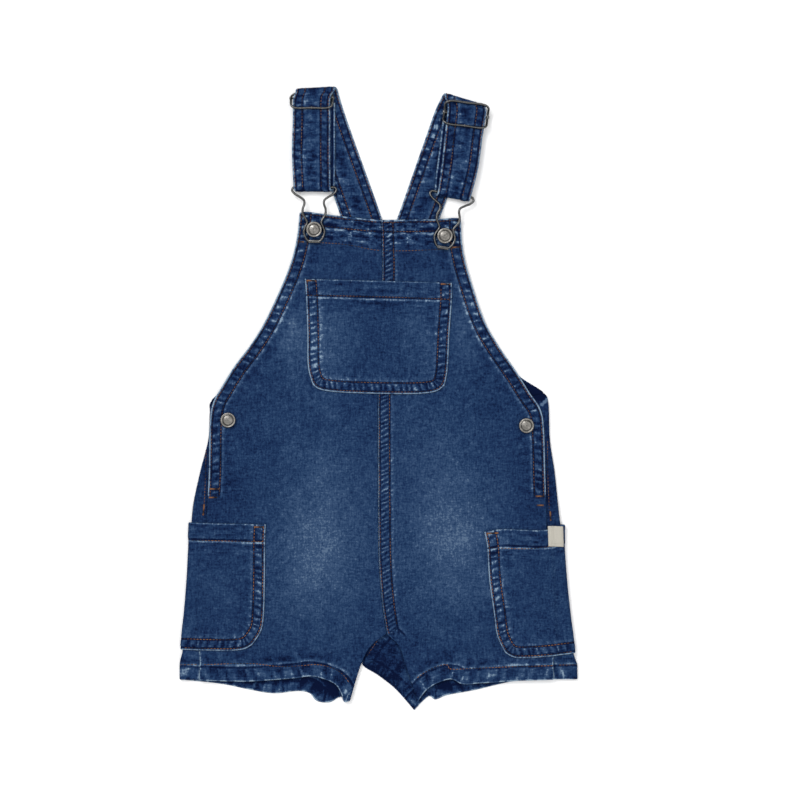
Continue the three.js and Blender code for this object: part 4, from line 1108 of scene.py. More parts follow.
def seam_group():
    """Wear of a seam with two rows: pale puckers between them, dark gaps, a worn edge, and a painted shadow
    on the cloth past the ridge beyond the second row.
    """
    tree, given, out = group_tree(
        "Seam wear and shade",
        (
            ("Run", "Vector", (0, 0, 0)), ("First Row", "Float", 1.8), ("Second Row", "Float", 9.2),
            ("Puckers", "Float", 1.0), ("Edge", "Float", 1.0), ("Ridge", "Float", 0.0),
            ("Crumple", "Float", 0.0), ("Crumple Scale", "Vector", (0.1, 3, 0)),
            ("Slant", "Float", 0.05),
        ),
        ("Pale", "Dark", "Height"),
    )
    run = node(tree, "ShaderNodeSeparateXYZ")
    tree.links.new(given["Run"], run.inputs[0])
    distance, phase, weight = run.outputs
    first, second = given["First Row"], given["Second Row"]
    uneven = noise(tree, given["Run"], 0.9, 2.0)
    slanted = total(tree, phase, times(tree, distance, given["Slant"]), times(tree, uneven, 0.4))
    turn = times(tree, slanted, 2 * math.pi)
    wave = total(tree, 0.5, times(tree, maths(tree, "COSINE", turn), 0.5))
    shifted_wave = total(tree, 0.5, times(tree, maths(tree, "COSINE", total(tree, turn, 0.9)), 0.5))
    inside = window(tree, distance, first, (0.5, 1.6), second, (-1.6, -0.5))
    strong = ramp(tree, noise(tree, given["Run"], 0.35, 1.0), 0.3, 0.62)
    rung = times(tree, inside, maths(tree, "POWER", wave, 2.2), total(tree, 0.35, times(tree, strong, 0.65)))
    beyond = window(tree, distance, second, (0.4, 1.2), second, (1.8, 4.6))
    halo = times(tree, beyond, total(tree, 0.25, times(tree, shifted_wave, 0.75)), 0.7)
    rim = maths(tree, "MAXIMUM", first, 1.3)
    worn = less(tree, ramp(tree, distance, times(tree, rim, 0.5), times(tree, rim, 0.95)))
    edge = times(tree, worn, given["Edge"])
    patchy = total(tree, 0.7, times(tree, uneven, 0.5))
    pale = total(tree, times(tree, total(tree, rung, halo), given["Puckers"]), times(tree, edge, patchy))
    channels = 0.0
    for row in (first, second):
        off = maths(tree, "ABSOLUTE", maths(tree, "SUBTRACT", distance, row))
        channels = total(tree, channels, less(tree, ramp(tree, off, 0.5, 1.2)))
    gaps = times(tree, inside, less(tree, wave), given["Puckers"])
    dark = total(tree, times(tree, gaps, 0.75), times(tree, channels, 0.9))
    ridge = times(
        tree,
        window(tree, distance, second, (0.7, 1.3), second, (1.9, 2.8)),
        given["Ridge"],
        total(tree, 0.65, times(tree, uneven, 0.5)),
    )
    # Painted shadow: the cloth past the ridge is darkened as if shaded by the raised band above it
    shade = times(tree, window(tree, distance, second, (2.4, 3.4), second, (4.0, 9.0)), given["Ridge"])
    spread_run = node(tree, "ShaderNodeVectorMath", operation="MULTIPLY")
    tree.links.new(given["Run"], spread_run.inputs[0])
    tree.links.new(given["Crumple Scale"], spread_run.inputs[1])
    rumple = noise(tree, spread_run.outputs[0], 1.0, 3.0, 0.6)
    near = less(tree, ramp(tree, distance, total(tree, second, 8.0), total(tree, second, 16.0)))
    rumple = times(tree, maths(tree, "SUBTRACT", rumple, 0.5), near, given["Crumple"])
    pale = total(tree, pale, ridge, maths(tree, "MAXIMUM", rumple, 0.0))
    dark = total(tree, dark, times(tree, shade, 0.4), maths(tree, "MAXIMUM", times(tree, rumple, -1.2), 0.0))
    feed(tree, out["Pale"], times(tree, pale, weight))
    feed(tree, out["Dark"], times(tree, dark, weight))
    feed(tree, out["Height"], times(tree, total(tree, rung, times(tree, channels, -0.4)), weight))
    return tree


POSITION = ("Position", "Vector", (0, 0, 0))


def patch_group():
    """A soft round patch."""
    tree, given, out = group_tree(
        "Soft patch",
        (POSITION, ("Centre", "Vector", (0, 0, 0)), ("Reach", "Vector", (1, 1, 1))),
        ("Mask",),
    )
    off = node(tree, "ShaderNodeVectorMath", operation="SUBTRACT")
    tree.links.new(given["Position"], off.inputs[0])
    tree.links.new(given["Centre"], off.inputs[1])
    share = node(tree, "ShaderNodeVectorMath", operation="DIVIDE")
    tree.links.new(off.outputs[0], share.inputs[0])
    tree.links.new(given["Reach"], share.inputs[1])
    length = node(tree, "ShaderNodeVectorMath", operation="LENGTH")
    tree.links.new(share.outputs[0], length.inputs[0])
    squared = maths(tree, "POWER", length.outputs["Value"], 2.0)
    feed(tree, out["Mask"], maths(tree, "EXPONENT", times(tree, squared, -1.0)))
    return tree


def yarn_group():
    """Denim's yarns: uneven warp and weft, the twill's slant, and cloudy dye."""
    tree, given, out = group_tree("Denim yarns", (POSITION,), ("Grain", "Cloud", "Height"))
    position = given["Position"]
    warp = noise(tree, scaled(tree, position, (1.0, 0.22, 0.5)), 0.8, 2.0, 0.6)
    weft = noise(tree, scaled(tree, position, (0.28, 1.0, 0.5)), 0.75, 2.0, 0.6)
    speck = noise(tree, position, 0.66, 3.0, 0.75)
    grain = total(tree, times(tree, warp, 0.28), times(tree, weft, 0.24), times(tree, speck, 0.48))
    slant = node(tree, "ShaderNodeTexWave", wave_type="BANDS", bands_direction="DIAGONAL")
    feed(tree, slant.inputs["Vector"], scaled(tree, position, (1.0, 1.0, 0.0)))
    slant.inputs["Scale"].default_value = 0.55
    slant.inputs["Distortion"].default_value = 1.2
    slant.inputs["Detail Scale"].default_value = 2.0
    cloud = total(
        tree,
        times(tree, noise(tree, position, 0.055, 3.0, 0.6), 0.6),
        times(tree, noise(tree, position, 0.21, 2.0, 0.6), 0.4),
    )
    feed(tree, out["Grain"], grain)
    feed(tree, out["Cloud"], cloud)
    height = total(tree, times(tree, grain, 0.7), times(tree, slant.outputs["Fac"], 0.3))
    feed(tree, out["Height"], height)
    return tree


def metal_group():
    """Handling wear of antique metal: pale rubbed places, grime and fine dents."""
    tree, given, out = group_tree("Metal wear", (POSITION,), ("Rubbed", "Grime", "Height"))
    position = given["Position"]
    feed(tree, out["Rubbed"], ramp(tree, noise(tree, position, 0.55, 3.0), 0.48, 0.66))
    feed(tree, out["Grime"], ramp(tree, noise(tree, position, 1.1, 4.0, 0.7), 0.5, 0.72))
    feed(tree, out["Height"], noise(tree, position, 2.6, 3.0, 0.6))
    return tree


GROUPS = {
    "Seam wear and shade": seam_group, "Soft patch": patch_group, "Denim yarns": yarn_group,
    "Metal wear": metal_group,
}


def shared(name):
    return bpy.data.node_groups.get(name) or GROUPS[name]()


def new_material(name, roughness, metallic=0.0, specular=0.5):
    material = bpy.data.materials.new(name)
    material.use_nodes = True
    tree = material.node_tree
    shader = tree.nodes["Principled BSDF"]
    shader.inputs["Roughness"].default_value = roughness
    shader.inputs["Metallic"].default_value = metallic
    shader.inputs["Specular IOR Level"].default_value = specular
    place = node(tree, "ShaderNodeTexCoord").outputs["Object"]
    return material, tree, shader, scaled(tree, place, (1 / MM, 1 / MM, 1 / MM))


def bumped(tree, shader, height, depth, strength=1.0):
    made = node(tree, "ShaderNodeBump")
    made.inputs["Strength"].default_value = strength
    made.inputs["Distance"].default_value = depth
    feed(tree, made.inputs["Height"], height)
    tree.links.new(made.outputs["Normal"], shader.inputs["Normal"])


def stepped_colour(tree, value, stops):
    made = node(tree, "ShaderNodeValToRGB")
    band = made.color_ramp
    band.interpolation = "LINEAR"
    while len(band.elements) < len(stops):
        band.elements.new(0.5)
    for element, (place, tint) in zip(band.elements, stops):
        element.position = place
        element.color = tint
    feed(tree, made.inputs["Fac"], value)
    return made.outputs["Color"]


# Stitch rows: distances from the edge of the first and second row, where one below 0 stands for no row
PANEL_ROWS = {
    "run_edge": (1.8, 9.2), "run_centre": (1.2, 9.2), "run_top": (2.0, 9.6), "run_hem": (-4.0, 11.3),
    "run_side": (-40.0, -30.0),
}
POCKET_ROWS = {"run_edge": (1.6, 8.8), "run_top": (-4.0, 13.2)}
STRAP_ROWS = {"run_edge": (2.0, 7.8), "run_centre": (2.0, 7.8)}
# Shares of the seams' pale wear and of their dark wear with its painted shadow in the colour, and the most
# that yarns and patches fade it
PALE_SHARE, DARK_SHARE, MOST_FADED = 0.52, -0.42, 0.82
# How worn each seam is: its puckers, worn edge, ridge beyond the second row with the painted shadow past it,
# and crumples with their scale
ACROSS, ALONG, HEMWARD = (0.09, 1.5, 0.0), (0.3, 0.5, 0.0), (0.1, 1.2, 0.0)
PANEL_WEAR = {
    "run_edge": {"Puckers": 0.78, "Edge": 1.35, "Ridge": 0.2, "Crumple": 1.6, "Crumple_Scale": ACROSS},
    "run_centre": {"Puckers": 0.8, "Edge": 1.0, "Crumple": 0.6, "Crumple_Scale": ACROSS, "Slant": 0.12},
    "run_top": {"Puckers": 0.3, "Edge": 1.0, "Ridge": 0.3, "Crumple": 6.0, "Crumple_Scale": ALONG},
    "run_hem": {"Puckers": 0.75, "Edge": 1.25, "Ridge": 0.45, "Crumple": 3.4, "Crumple_Scale": HEMWARD},
    "run_side": {"Puckers": 0.0, "Edge": 0.8},
}
BACK_WEAR = {
    **PANEL_WEAR,
    "run_centre": {"Puckers": 0.4, "Edge": 0.5, "Crumple": 4.2, "Crumple_Scale": (0.1, 0.6, 0.0)},
}
POCKET_WEAR = {
    "run_edge": {"Puckers": 0.8, "Edge": 1.15, "Crumple": 1.6, "Crumple_Scale": ACROSS},
    "run_top": {"Puckers": 0.15, "Edge": 0.8, "Ridge": 0.85, "Crumple": 2.4, "Crumple_Scale": ALONG},
}
STRAP_WEAR = {
    "run_edge": {"Puckers": 0.7, "Edge": 1.0, "Crumple": 4.4, "Crumple_Scale": ACROSS},
    "run_centre": {"Puckers": 0.7, "Edge": 1.0},
}


def denim(name, rows, wearing, base, patches=FADES):
    """Washed denim: indigo twill that is faded in patches and worn pale along its seams, with a painted
    shadow past the seams' ridges and, on the back, painted shade in patches.
    """
    if name in bpy.data.materials:
        return bpy.data.materials[name]
    material, tree, shader, position = new_material(name, 0.9, specular=0.05)
    yarns = placed_group(tree, shared("Denim yarns"), Position=position)
    wear = total(
        tree,
        base,
        times(tree, maths(tree, "SUBTRACT", yarns["Grain"], 0.5), 2.1),
        times(tree, maths(tree, "SUBTRACT", yarns["Cloud"], 0.5), 0.6),
    )
    # On the back these patches also paint shade in the crotch, the legs' mouths, beside and under the front
    # and at the armpits
    for x, y, reach_x, reach_y, strength in patches:
        patch = placed_group(
            tree, shared("Soft patch"), Position=position, Centre=(x, y, 4), Reach=(reach_x, reach_y, 60)
        )
        wear = total(tree, wear, times(tree, patch["Mask"], strength))
    wear = maths(tree, "MINIMUM", wear, MOST_FADED)
    height = times(tree, yarns["Height"], 0.35)
    for label, (first, second) in rows.items():
        run = node(tree, "ShaderNodeAttribute", attribute_name=label).outputs["Vector"]
        seam = placed_group(
            tree, shared("Seam wear and shade"), Run=run, First_Row=first, Second_Row=second, **wearing[label]
        )
        wear = total(tree, wear, times(tree, seam["Pale"], PALE_SHARE), times(tree, seam["Dark"], DARK_SHARE))
        height = total(tree, height, times(tree, seam["Height"], 0.8))
    stops = ((0.0, "navy"), (0.26, "indigo"), (0.46, "mid"), (0.76, "faded"), (1.0, "pale"))
    tint = stepped_colour(tree, wear, [(place, colour(label)) for place, label in stops])
    tree.links.new(tint, shader.inputs["Base Color"])
    bumped(tree, shader, height, 0.0005)
    return material


def thread(name, light):
    """Sewing thread, each stitch with a tone of its own."""
    if name in bpy.data.materials:
        return bpy.data.materials[name]
    material, tree, shader, position = new_material(name, 0.7, specular=0.25)
    tone = node(tree, "ShaderNodeAttribute", attribute_name="thread_tone").outputs["Fac"]
    worn = total(tree, times(tree, tone, 0.7), times(tree, noise(tree, position, 0.12, 2.0), 0.45))
    tint = stepped_colour(tree, worn, ((0.25, colour("thread_dark")), (0.85, colour(light))))
    tree.links.new(tint, shader.inputs["Base Color"])
    bumped(tree, shader, noise(tree, position, 4.0), 0.0001)
    return material


def woven_tag():
    if "Woven tag" in bpy.data.materials:
        return bpy.data.materials["Woven tag"]
    material, tree, shader, position = new_material("Woven tag", 0.8, specular=0.25)
    run = node(tree, "ShaderNodeSeparateXYZ")
    spot = node(tree, "ShaderNodeAttribute", attribute_name="run_edge").outputs["Vector"]
    tree.links.new(spot, run.inputs[0])
    across, down, _ = run.outputs
    ribs = maths(tree, "SINE", times(tree, down, 12.0))
    threads = maths(tree, "SINE", times(tree, across, 14.0))
    weave = total(tree, times(tree, ribs, 0.5), times(tree, threads, 0.3), noise(tree, position, 1.4))
    shade = total(tree, 0.5, times(tree, weave, 0.22))
    dull = tuple(channel * 0.62 for channel in colour("label")[:3]) + (1.0,)
    tint = stepped_colour(tree, shade, ((0.2, dull), (0.75, colour("label"))))
    tree.links.new(tint, shader.inputs["Base Color"])
    bumped(tree, shader, weave, 0.00012)
    return material


def metal(name, tint_name, roughness):
    """Antique plated metal: dark in its hollows and rubbed bright where it is handled."""
    if name in bpy.data.materials:
        return bpy.data.materials[name]
    material, tree, shader, position = new_material(name, roughness, metallic=1.0)
    wear = placed_group(tree, shared("Metal wear"), Position=position)
    edges = node(tree, "ShaderNodeNewGeometry").outputs["Pointiness"]
    proud = ramp(tree, edges, 0.46, 0.56)
    shine = total(
        tree,
        times(tree, proud, 0.55),
        times(tree, wear["Rubbed"], 0.35),
        times(tree, wear["Grime"], -0.3),
        0.2,
    )
    base = colour(tint_name)
    deep = tuple(channel * 0.2 for channel in base[:3]) + (1.0,)
    bright = tuple(min(1.0, channel * 1.7) for channel in base[:3]) + (1.0,)
    tint = stepped_colour(tree, shine, ((0.0, deep), (0.5, base), (1.0, bright)))
    tree.links.new(tint, shader.inputs["Base Color"])
    rough = total(tree, roughness, times(tree, wear["Grime"], 0.2), times(tree, wear["Rubbed"], -0.08))
    tree.links.new(rough, shader.inputs["Roughness"])
    bumped(tree, shader, wear["Height"], 0.00008)
    return material


def nickel():
    return metal("Antique nickel", "nickel", roughness=0.2)


def panel_denim():
    return denim("Panel denim", PANEL_ROWS, PANEL_WEAR, base=0.355)


def back_denim():
    # A lower base than the front's: painted shade on the back where it shows beside and under the front
    return denim("Back denim", PANEL_ROWS, BACK_WEAR, base=0.33, patches=FADES + BACK_SHADES)


def pocket_denim():
    return denim("Pocket denim", POCKET_ROWS, POCKET_WEAR, base=0.36)


def strap_denim():
    return denim("Strap denim", STRAP_ROWS, STRAP_WEAR, base=0.36)


def deselected():
    if bpy.context.object and bpy.context.object.mode != "OBJECT":
        bpy.ops.object.mode_set(mode="OBJECT")
    bpy.ops.object.select_all(action="DESELECT")


def only(piece):
    deselected()
    piece.select_set(True)
    bpy.context.view_layer.objects.active = piece


def in_place(points, place):
    """Points given across, along and height in a trim's own plane, in the garment's millimetres."""
    x, y, turn = place
    points = np.asarray(points, float)
    cos, sin = math.cos(turn), math.sin(turn)
    across, along = points[:, 0], points[:, 1]
    return np.stack([x + across * cos - along * sin, y + across * sin + along * cos, points[:, 2]], -1)


def bent_wire(name, route, radius, closed=True):
    """A round wire along a route, as a mesh."""
    line = smooth_line(route, closed=closed, steps=5)
    data = bpy.data.curves.new(name, "CURVE")
    data.dimensions = "3D"
    data.bevel_depth = radius * MM
    data.bevel_resolution = 3
    data.use_fill_caps = not closed
    spline = data.splines.new("POLY")
    spline.points.add(len(line) - 1)
    for point, spot in zip(spline.points, (line + SHIFT) * MM):
        point.co = (*spot, 1.0)
    spline.use_cyclic_u = closed
    wire = bpy.data.objects.new(name, data)
    bpy.context.collection.objects.link(wire)
    only(wire)
    bpy.ops.object.convert(target="MESH")
    wire.data.shade_smooth()
    return wire


def rounded_block(place, middle, size, bevel):
    """A block with rounded edges in a trim's plane, its size across, along and in height."""
    spot = (in_place([middle], place)[0] + SHIFT) * MM
    deselected()
    bpy.ops.mesh.primitive_cube_add(size=1, location=spot, rotation=(0, 0, place[2]))
    block = bpy.context.object
    block.scale = [side * MM for side in size]
    bpy.ops.object.transform_apply(location=True, rotation=True, scale=True)
    edge = block.modifiers.new("edges", "BEVEL")
    edge.width, edge.segments = bevel * MM, 3
    bpy.ops.object.modifier_apply(modifier=edge.name)
    block.data.shade_smooth()
    return block


def joined(pieces, name, material, node_name):
    deselected()
    for piece in pieces:
        piece.select_set(True)
    bpy.context.view_layer.objects.active = pieces[0]
    bpy.ops.object.join()
    whole = bpy.context.object
    whole.name = whole.data.name = name
    whole.data.materials.clear()
    whole.data.materials.append(material)
    return settle(whole, (node_name,))


def spun(profile, place, base, sides=56):
    """A round trim: a profile of radius and height spun about its upright axis."""
    mesh = bpy.data.meshes.new("profile")
    line = [(place[0] + SHIFT[0] + r, place[1] + SHIFT[1], base + h) for r, h in profile]
    mesh.from_pydata([[c * MM for c in p] for p in line], [(k, k + 1) for k in range(len(line) - 1)], [])
    trim = bpy.data.objects.new("profile", mesh)
    bpy.context.collection.objects.link(trim)
    only(trim)
    bpy.ops.object.mode_set(mode="EDIT")
    bpy.ops.mesh.select_all(action="SELECT")
    centre = ((place[0] + SHIFT[0]) * MM, (place[1] + SHIFT[1]) * MM, 0)
    bpy.ops.mesh.spin(steps=sides, angle=2 * math.pi, center=centre, axis=(0, 0, 1))
    bpy.ops.mesh.select_all(action="SELECT")
    bpy.ops.mesh.remove_doubles(threshold=0.00002)
    bpy.ops.mesh.normals_make_consistent(inside=False)
    bpy.ops.object.mode_set(mode="OBJECT")
    trim.data.shade_smooth()
    return trim


def button_profile(radius, neck):
    """A foot, a neck, a rolled rim, a ring and a low dome with a sunk middle."""
    head = (
        (radius - 0.7, neck), (radius - 0.15, neck + 0.25), (radius, neck + 0.7), (radius - 0.15, neck + 1.2),
        (radius - 0.6, neck + 1.45), (radius - 1.05, neck + 1.42), (radius - 1.35, neck + 1.25),
        (radius - 1.75, neck + 1.32), (radius - 2.1, neck + 1.62), (radius - 2.5, neck + 1.9),
        (radius - 3.1, neck + 2.08), (1.9, neck + 2.24), (1.35, neck + 2.36), (0.9, neck + 2.38),
        (0.5, neck + 2.3), (0.0, neck + 2.27),
    )
    return ((0.0, 0.0), (3.0, 0.0), (3.1, 0.15), (3.1, neck), *head)


def shank_button(name, place, radius, neck, node_name):
    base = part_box(node_name)[0].z / MM
    button = spun(button_profile(radius, neck), place, base)
    finish = metal("Antique silver", "silver", roughness=0.3)
    return joined([button], name, finish, node_name)


class SHORTALLS_OT_front_panels(bpy.types.Operator):
    """Both halves of the front, from the bib to the hems"""

    bl_idname = "shortalls.front_panels"
    bl_label = "Front panels"

    def execute(self, context):
        for side, word in SIDES:
            outer, inner, runs = front_grids(side)
            add_sheet(f"front_{word}_panel", outer, inner, panel_denim(), runs, f"front_{word}")
        return {"FINISHED"}


class SHORTALLS_OT_back_panels(bpy.types.Operator):
    """Both halves of the back, with the sides that wrap round to the front"""

    bl_idname = "shortalls.back_panels"
    bl_label = "Back panels"

    def execute(self, context):
        for side, word in SIDES:
            outer, inner, runs = back_grids(side)
            add_sheet(f"back_{word}_panel", outer, inner, back_denim(), runs, f"back_{word}")
        return {"FINISHED"}


class SHORTALLS_OT_bib_pocket(bpy.types.Operator):
    """The patch pocket on the bib"""

    bl_idname = "shortalls.bib_pocket"
    bl_label = "Bib pocket"

    def execute(self, context):
        outer, inner, runs = bib_pocket_grids()
        add_sheet("bib_pocket_patch", outer, inner, pocket_denim(), runs, "bib_pocket")
        return {"FINISHED"}


class SHORTALLS_OT_side_pockets(bpy.types.Operator):
    """The side pockets, which go round the folded sides"""

    bl_idname = "shortalls.side_pockets"
    bl_label = "Side pockets"

    def execute(self, context):
        for side, word in SIDES:
            outer, inner, runs = side_pocket_grids(side)
            add_sheet(f"side_pocket_{word}_patch", outer, inner, pocket_denim(), runs, f"side_pocket_{word}")
        return {"FINISHED"}


class SHORTALLS_OT_tag(bpy.types.Operator):
    """The bare woven tag at the right pocket's side"""

    bl_idname = "shortalls.tag"
    bl_label = "Woven tag"

    def execute(self, context):
        outer, inner, runs = tag_grids()
        piece = add_sheet("woven_tag", outer, inner, woven_tag(), runs, "tag")
        return {"FINISHED"}


class SHORTALLS_OT_straps(bpy.types.Operator):
    """Both straps, from the back over the fold to the clip and back up to the slider"""

    bl_idname = "shortalls.straps"
    bl_label = "Straps"

    def execute(self, context):
        for strap, word in ((STRAP_LEFT, "left"), (STRAP_RIGHT, "right")):
            outer, inner, runs = strap_grids(strap)
            add_sheet(f"strap_{word}_band", outer, inner, strap_denim(), runs, f"strap_{word}")
        return {"FINISHED"}


def surface_of(name):
    return BVHTree.FromObject(bpy.data.objects[name], bpy.context.evaluated_depsgraph_get())


def front_rows(side):
    """The stitch rows of one front panel: along its edge, top, centre and hem."""
    left = side < 0
    rows, ends = front_table(side)
    xy = plan(rows, ends, np.array([0.0, 1.0]), np.linspace(0, len(rows) - 1, 200))
    made = []
    for distance in PANEL_ROWS["run_edge"]:
        line = inset(xy[:, 0], distance, -side)
        made.append(kept(line, lambda x, y: (y > -79) & (y < 147 - side * 2)))
    brim = smooth_line(ends["top"])
    for distance in PANEL_ROWS["run_top"]:
        made.append(inset(brim, distance, side)[2:-1])
    if not left:
        for distance, foot in zip(PANEL_ROWS["run_centre"], (-189, -182)):
            line = inset(xy[:, 1], distance, side)
            made.append(kept(line, lambda x, y: (y > foot) & (y < 142)))
    return made


def pocket_rows(side):
    """The stitch rows of one side pocket."""
    rows, ends = side_pocket_table(side)
    edge = plan(rows, ends, np.array([1.0]), np.linspace(0, len(rows) - 1, 60))[:, 0]
    foot = plan(rows, ends, np.linspace(1, 0, 40)[None], np.array([len(rows) - 1.0]))[0]
    outline = np.concatenate([edge, foot[1:]])
    return [inset(outline, distance, side)[2:] for distance in POCKET_ROWS["run_edge"]]


def bib_pocket_rows():
    place = np.linspace(0, len(BIB_POCKET) - 1, 60)
    xy = plan(BIB_POCKET, BIB_POCKET_ENDS, np.array([0.0, 1.0]), place)
    outline = np.concatenate([xy[:, 0], smooth_line(BIB_POCKET_FOOT)[1:-1], xy[::-1, 1]])
    return [inset(outline, distance, 1)[2:-2] for distance in POCKET_ROWS["run_edge"]]


def strap_lines(strap):
    """Lines on a strap's outer face and, on the run from the back, on its inner face."""
    outer, inner, _ = strap_grids(strap)
    _, (back_end, front_end) = strap_sections(strap)
    u = spread_rows(np.full(1, STRAP_WIDTH), sizes()["cell"], sizes()["edge_roll"])[0]
    lines = []
    for grid, way, last in ((outer, 1, front_end), (inner, -1, back_end + 4)):
        normal = normals_of(grid) * way
        for distance in STRAP_ROWS["run_edge"]:
            for share in (distance / STRAP_WIDTH, 1 - distance / STRAP_WIDTH):
                column = np.abs(u - share).argmin()
                lines.append((grid[:last, column], normal[:last, column]))
    return lines


# Rows that don't follow an edge at one distance, and the ends of each bar tack
HEM_ROW_LEFT = (
    (-159, -213.2), (-143, -213), (-102.8, -212.2), (-78.8, -214.6), (-60.4, -213.8), (-50.2, -213),
    (-38, -215.4), (-29, -220.6), (-23.5, -227.5),
)
HEM_ROW_RIGHT = (
    (159, -213.2), (140, -213.6), (108.4, -214.6), (77.2, -216), (56.1, -216), (55.6, -213.2),
    (47.9, -214.2), (37.7, -219), (30.3, -224),
)
BIB_BAND_ROW = ((-64.0, 125.6), (-26.8, 123.4), (1.2, 118.6), (49.2, 119.6), (65.2, 121.2))
BIB_POCKET_ROW = ((-57.4, 82.6), (2.6, 81.4), (57.4, 79.4))
POCKET_ROW_LEFT = ((-152.2, -113.2), (-91.6, -114.6))
POCKET_ROW_RIGHT = ((87.4, -119.4), (120.2, -120), (134.6, -118.6), (150.2, -117.6))
SIDE_ROW_LEFT = ((-138.2, -41), (-138.6, -60), (-139.6, -84))
SIDE_ROW_RIGHT = ((135.4, -34), (135.6, -60), (136.8, -92))
# Rows of the underside: distance from the hem, distances from the centre seam, and how far these run
BACK_HEM_ROW, BACK_CENTRE_ROWS, BACK_CENTRE_REACH = 12.5, (1.4, 8.6), (120, -176)
INSEAM_ROWS = (((5.6, -184), (-9.6, -207)), ((1.2, -183), (-14.4, -206)))
FRONT_TACKS = (
    ((-135.4, -72.4), (-127.6, -72.4)), ((-135.6, -79.2), (-129.2, -79.2)),
    ((125.8, -78.2), (132.8, -78.2)), ((126.8, -85.4), (132.0, -85.4)),
    ((-64.6, 125.6), (-60.0, 125.4)), ((59.4, 121.0), (65.4, 121.3)),
)
BACK_TACKS = (((-139.6, -84.6), (-140.4, -93.2)), ((137.4, -90.6), (137.8, -97.6)))
BIB_POCKET_TACKS = (((-57.6, 94.4), (-50.0, 94.2)), ((50.0, 91.6), (57.4, 91.4)))
SIDE_POCKET_TACKS = (((-99.4, -102.8), (-91.8, -102.9)), ((86.6, -108.0), (95.6, -107.6)))


class SHORTALLS_OT_stitching(bpy.types.Operator):
    """Every stitch row and bar tack"""

    bl_idname = "shortalls.stitching"
    bl_label = "Stitching"

    def execute(self, context):
        size = sizes()
        surfaces = {name: surface_of(name) for name in (
            "front_left_panel", "front_right_panel", "back_left_panel", "back_right_panel",
            "bib_pocket_patch", "side_pocket_left_patch", "side_pocket_right_patch",
        )}
        rust = thread("Rust thread", "thread_rust")
        golden = thread("Golden thread", "thread_gold")
        body, lower, back, straps = [], [], [], []
        for side, word in SIDES:
            front = surfaces[f"front_{word}_panel"]
            hem = smooth_line(HEM_ROW_LEFT if side < 0 else HEM_ROW_RIGHT)
            band = smooth_line(BIB_BAND_ROW)
            for line in front_rows(side):
                body += sewn(front, line)
            body += sewn(front, kept(band, lambda x, y: (x < 2) if side < 0 else (x > 2)))
            lower += sewn(front, kept(hem, lambda x, y: np.abs(x) < 143))
            behind = surfaces[f"back_{word}_panel"]
            back += sewn(behind, kept(hem, lambda x, y: np.abs(x) > 144))
            back += sewn(behind, smooth_line(SIDE_ROW_LEFT if side < 0 else SIDE_ROW_RIGHT))
            patch = surfaces[f"side_pocket_{word}_patch"]
            for line in (*pocket_rows(side), smooth_line(POCKET_ROW_LEFT if side < 0 else POCKET_ROW_RIGHT)):
                lower += sewn(patch, line)
            hem_behind = smooth_line(BACK_HEM_LEFT if side < 0 else BACK_HEM_RIGHT)
            back += sewn(behind, inset(hem_behind, BACK_HEM_ROW, -side), from_below=True)
            for off in BACK_CENTRE_ROWS:
                seam = np.stack([np.full(60, side * off), np.linspace(*BACK_CENTRE_REACH, 60)], -1)
                back += sewn(behind, seam, from_below=True)
        for row in INSEAM_ROWS:
            back += sewn(surfaces["back_right_panel"], smooth_line(row))
        for line in bib_pocket_rows():
            body += sewn(surfaces["bib_pocket_patch"], line)
        body += sewn(surfaces["bib_pocket_patch"], smooth_line(BIB_POCKET_ROW))
        for strap in (STRAP_LEFT, STRAP_RIGHT):
            for points, normals in strap_lines(strap):
                straps += sewn_on_strap(points, normals)
        for name, stitches, tone in (
            ("body_stitches", body, rust), ("lower_stitches", lower, golden), ("back_stitches", back, rust),
            ("strap_stitches", straps, rust),
        ):
            add_thread(name, stitches, tone, size["thread"])

        tacks = []
        for group, names in (
            (FRONT_TACKS, ("front_left_panel", "front_right_panel")),
            (BACK_TACKS, ("back_left_panel", "back_right_panel")),
            (BIB_POCKET_TACKS, ("bib_pocket_patch",)),
            (SIDE_POCKET_TACKS, ("side_pocket_left_patch", "side_pocket_right_patch")),
        ):
            for start, end in group:
                name = names[0] if len(names) == 1 or start[0] < 0 else names[1]
                tacks += tacked(surfaces[name], start, end)
        add_thread("bar_tacks", tacks, golden, size["thread"] * 0.9)
        return {"FINISHED"}


class SHORTALLS_OT_clips(bpy.types.Operator):
    """The wire clips that hook round the bib buttons"""

    bl_idname = "shortalls.clips"
    bl_label = "Clips"

    def execute(self, context):
        finish = nickel()
        for place, word in BIB_BUTTONS:
            half = list(CLIP_HALF)
            route = half + [(-a, b, c) for a, b, c in half[-2:0:-1]]
            wire = bent_wire("wire", in_place(route, place), sizes()["wire"])
            plate = rounded_block(place, *CLIP_PLATE)
            joined([wire, plate], f"clip_{word}_wire", finish, f"clip_{word}")
        return {"FINISHED"}


class SHORTALLS_OT_sliders(bpy.types.Operator):
    """The wire sliders on the straps"""

    bl_idname = "shortalls.sliders"
    bl_label = "Sliders"

    def execute(self, context):
        finish = nickel()
        wire = sizes()["wire"]
        for frame_route, place, half, side_z, word in SLIDERS:
            loop = bent_wire("loop", in_place(frame_route, place), wire)
            bar = [(-half, 0, SLIDER_BAR_Z), (0, 0, SLIDER_BAR_Z), (half, 0, SLIDER_BAR_Z)]
            rod = bent_wire("rod", in_place(bar, place), wire, closed=False)
            ends = [
                rounded_block(place, (way * (half + 0.2), 0, side_z), (2.4, 2.6, 2.0), 0.6) for way in (-1, 1)
            ]
            joint = rounded_block(place, (0, frame_route[1][1], 8.8), (1.1, 2.1, 2.0), 0.3)
            joined([loop, rod, joint, *ends], f"slider_{word}_wire", finish, f"slider_{word}")
        return {"FINISHED"}


